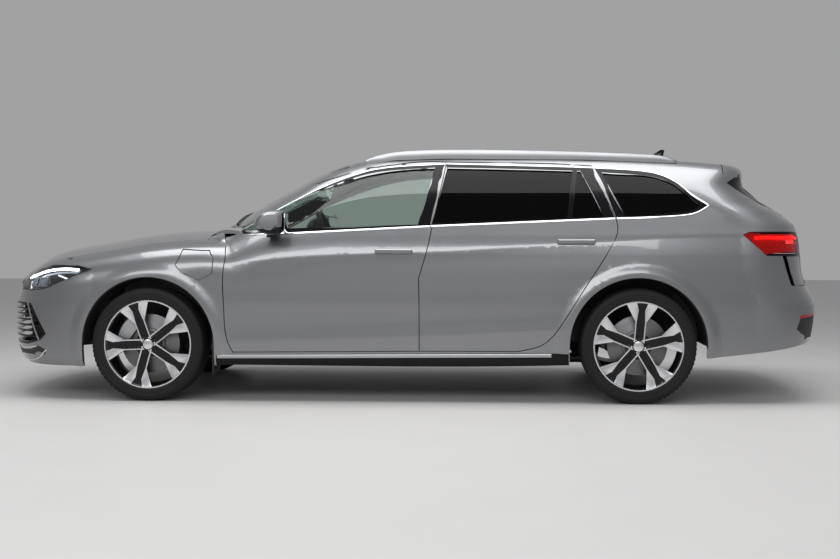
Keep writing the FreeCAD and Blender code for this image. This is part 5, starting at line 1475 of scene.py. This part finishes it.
class ESTATE_OT_underside(bpy.types.Operator):
    """Finishes below the car and in the arches"""

    bl_idname = "estate.underside"
    bl_label = "Underside"

    def execute(self, context):
        for node, finish, slot in (
                ("front_rails", underbody, "underbody"), ("arch_liners", satin_black, "liner"),
                ("engine", cast_metal, "iron"), ("front_subframe", underbody, "underbody"),
                ("rear_axle", cast_metal, "iron"), ("exhaust", steel, "pipe")):
            finished(node, finish(), slot, 2 * MM)
        pan = node_copy("floor_pan", "floor_pan_piece")
        rounded(pan, 2 * MM)
        two_tone(pan, lambda centre, normal: normal[2] > 0.5)
        dressed(pan, "floor_pan", underbody(), carpet(), slot="underbody")
        return {"FINISHED"}


class ESTATE_OT_cabin(bpy.types.Operator):
    """Padded seats, dashboard with its displays, and the steering wheel"""

    bl_idname = "estate.cabin"
    bl_label = "Cabin"

    def execute(self, context):
        finished("dashboard", cabin_black(), "trim", 10 * MM)
        finished("steering_wheel", leather(), "leather", 2 * MM)
        finished("seat_bases", cabin_black(), "trim", 3 * MM)
        for side, hand in SIDES:
            middle = hand * SEAT_MIDDLE
            low, high = middle - SEAT_HALF_WIDTH, middle + SEAT_HALF_WIDTH
            lines = [(1, middle - SEAM_ACROSS, 7 * MM, 9 * MM), (1, middle + SEAM_ACROSS, 7 * MM, 9 * MM)]
            cross = [(0, -0.30 + 0.09 * i, 6 * MM, 5 * MM) for i in range(1, 4)]
            seat = pad("seat_cushion_" + side, (-0.375, low, 0.43), (0.135, high, 0.565), 48 * MM, 20 * MM,
                       grooves=lines + cross, lean=-4, pivot=(0.1, 0, 0.5))
            padded_piece(seat, "front_seats", leather())
            cross = [(2, 0.66 + 0.10 * i, 6 * MM, 5 * MM) for i in range(4)]
            back = pad("seat_back_" + side, (0.005, low + 0.01, 0.52), (0.125, high - 0.01, 1.105), 42 * MM,
                       16 * MM, axis=0, sign=-1, grooves=lines + cross, lean=13, pivot=(0.06, 0, 0.52))
            padded_piece(back, "front_seats", leather())
            rest = pad("seat_rest_" + side, (0.175, middle - 0.13, 1.085), (0.255, middle + 0.13, 1.255),
                       34 * MM, 10 * MM, axis=0, sign=-1)
            padded_piece(rest, "front_seats", leather())
        seams = [(1, y, 8 * MM, 9 * MM) for y in BENCH_SEAMS]
        bench = pad("bench_cushion", (0.405, -0.615, 0.40), (0.86, 0.615, 0.565), 50 * MM, 14 * MM,
                    grooves=seams, lean=-4, pivot=BENCH_PIVOT, cell=BENCH_CELL)
        padded_piece(bench, "rear_seat", leather())
        back = pad("bench_back", (0.74, -0.61, 0.50), (0.87, 0.61, 1.08), 46 * MM, 12 * MM, axis=0, sign=-1,
                   grooves=seams, lean=14, pivot=BENCH_PIVOT, cell=BENCH_CELL)
        padded_piece(back, "rear_seat", leather())
        for i, y in enumerate(BENCH_RESTS):
            rest = pad("bench_rest_%d" % i, (0.945, y - 0.12, 1.075), (1.025, y + 0.12, 1.215), 32 * MM,
                       8 * MM, axis=0, sign=-1)
            padded_piece(rest, "rear_seat", leather())
        for name, low, high in DISPLAYS:
            mounted(box(name, low, high, 4 * MM), "body", screen_glass())
        return {"FINISHED"}


class ESTATE_OT_stage(bpy.types.Operator):
    """Floor, backdrop, soft light and the camera"""

    bl_idname = "estate.stage"
    bl_label = "Stage and camera"

    def execute(self, context):
        settings = context.scene.estate_stage
        floor_finish = surface("Pale floor", tuple(settings.floor_colour), 0.5, spread=0.1, drift=0.04)
        bpy.ops.mesh.primitive_plane_add(size=FLOOR_SIZE, location=(0, 0, 0))
        floor = context.object
        floor.name = "studio_floor"
        wear(floor, floor_finish)
        world = bpy.data.worlds.new("Soft studio")
        context.scene.world = world
        world.use_nodes = True
        nodes, links = world.node_tree.nodes, world.node_tree.links
        light = nodes["Background"]
        light.inputs["Color"].default_value = SKY_COLOUR
        light.inputs["Strength"].default_value = SKY_STRENGTH
        backdrop = nodes.new("ShaderNodeBackground")
        backdrop.inputs["Color"].default_value = (*settings.backdrop_colour, 1)
        path = nodes.new("ShaderNodeLightPath").outputs
        seen = worked(world.node_tree, "MAXIMUM", path["Is Camera Ray"], path["Is Transmission Ray"])
        mix = nodes.new("ShaderNodeMixShader")
        links.new(worked(world.node_tree, "MAXIMUM", seen, path["Is Glossy Ray"]), mix.inputs[0])
        links.new(light.outputs[0], mix.inputs[1])
        links.new(backdrop.outputs[0], mix.inputs[2])
        links.new(mix.outputs[0], nodes["World Output"].inputs["Surface"])
        for name, place, turn, size, power in SOFTBOXES:
            lamp = bpy.data.lights.new(name, "AREA")
            lamp.shape = "RECTANGLE"
            lamp.size, lamp.size_y = size
            lamp.energy = power
            holder = bpy.data.objects.new(name, lamp)
            context.scene.collection.objects.link(holder)
            holder.location = place
            holder.rotation_euler = [math.radians(a) for a in turn]
        camera = bpy.data.cameras.new("photo_camera")
        camera.lens = settings.lens
        camera.sensor_width = SENSOR
        camera.clip_end = SIGHT
        holder = bpy.data.objects.new("photo_camera", camera)
        context.scene.collection.objects.link(holder)
        holder.location = CAMERA_PLACE
        holder.rotation_euler = (math.radians(90) - settings.pitch, 0, settings.yaw)
        context.scene.camera = holder
        context.scene.view_settings.view_transform = "Standard"
        return {"FINISHED"}


OPERATORS = (ESTATE_OT_panels, ESTATE_OT_glass, ESTATE_OT_surrounds, ESTATE_OT_wheels,
             ESTATE_OT_headlamps, ESTATE_OT_tail_lamps, ESTATE_OT_trim, ESTATE_OT_underside,
             ESTATE_OT_cabin, ESTATE_OT_stage)
GROUP_TYPES = (EstatePaint, EstateWheels, EstateStage)


class ESTATE_PT_panel(bpy.types.Panel):
    """Lists the pieces of the car."""

    bl_label = "Estate car"
    bl_idname = "ESTATE_PT_panel"
    bl_space_type = "VIEW_3D"
    bl_region_type = "UI"
    bl_category = "Estate car"

    def draw(self, context):
        layout = self.layout
        layout.prop(context.scene.estate_paint, "colour")
        layout.prop(context.scene.estate_wheels, "block_depth")
        layout.prop(context.scene.estate_wheels, "edge")
        layout.prop(context.scene.estate_stage, "lens")
        layout.prop(context.scene.estate_stage, "floor_colour")
        for operator in OPERATORS:
            layout.operator(operator.bl_idname)


def register():
    for item in GROUP_TYPES + OPERATORS + (ESTATE_PT_panel,):
        bpy.utils.register_class(item)
    bpy.types.Scene.estate_paint = bpy.props.PointerProperty(type=EstatePaint)
    bpy.types.Scene.estate_wheels = bpy.props.PointerProperty(type=EstateWheels)
    bpy.types.Scene.estate_stage = bpy.props.PointerProperty(type=EstateStage)


def unregister():
    del bpy.types.Scene.estate_paint
    del bpy.types.Scene.estate_wheels
    del bpy.types.Scene.estate_stage
    for item in reversed(GROUP_TYPES + OPERATORS + (ESTATE_PT_panel,)):
        bpy.utils.unregister_class(item)


def main():
    register()
    bpy.ops.estate.panels()
    bpy.ops.estate.glass()
    bpy.ops.estate.surrounds()
    bpy.ops.estate.wheels()
    bpy.ops.estate.headlamps()
    bpy.ops.estate.tail_lamps()
    bpy.ops.estate.trim()
    bpy.ops.estate.underside()
    bpy.ops.estate.cabin()
    bpy.ops.estate.stage()


if __name__ == "__main__":
    main()
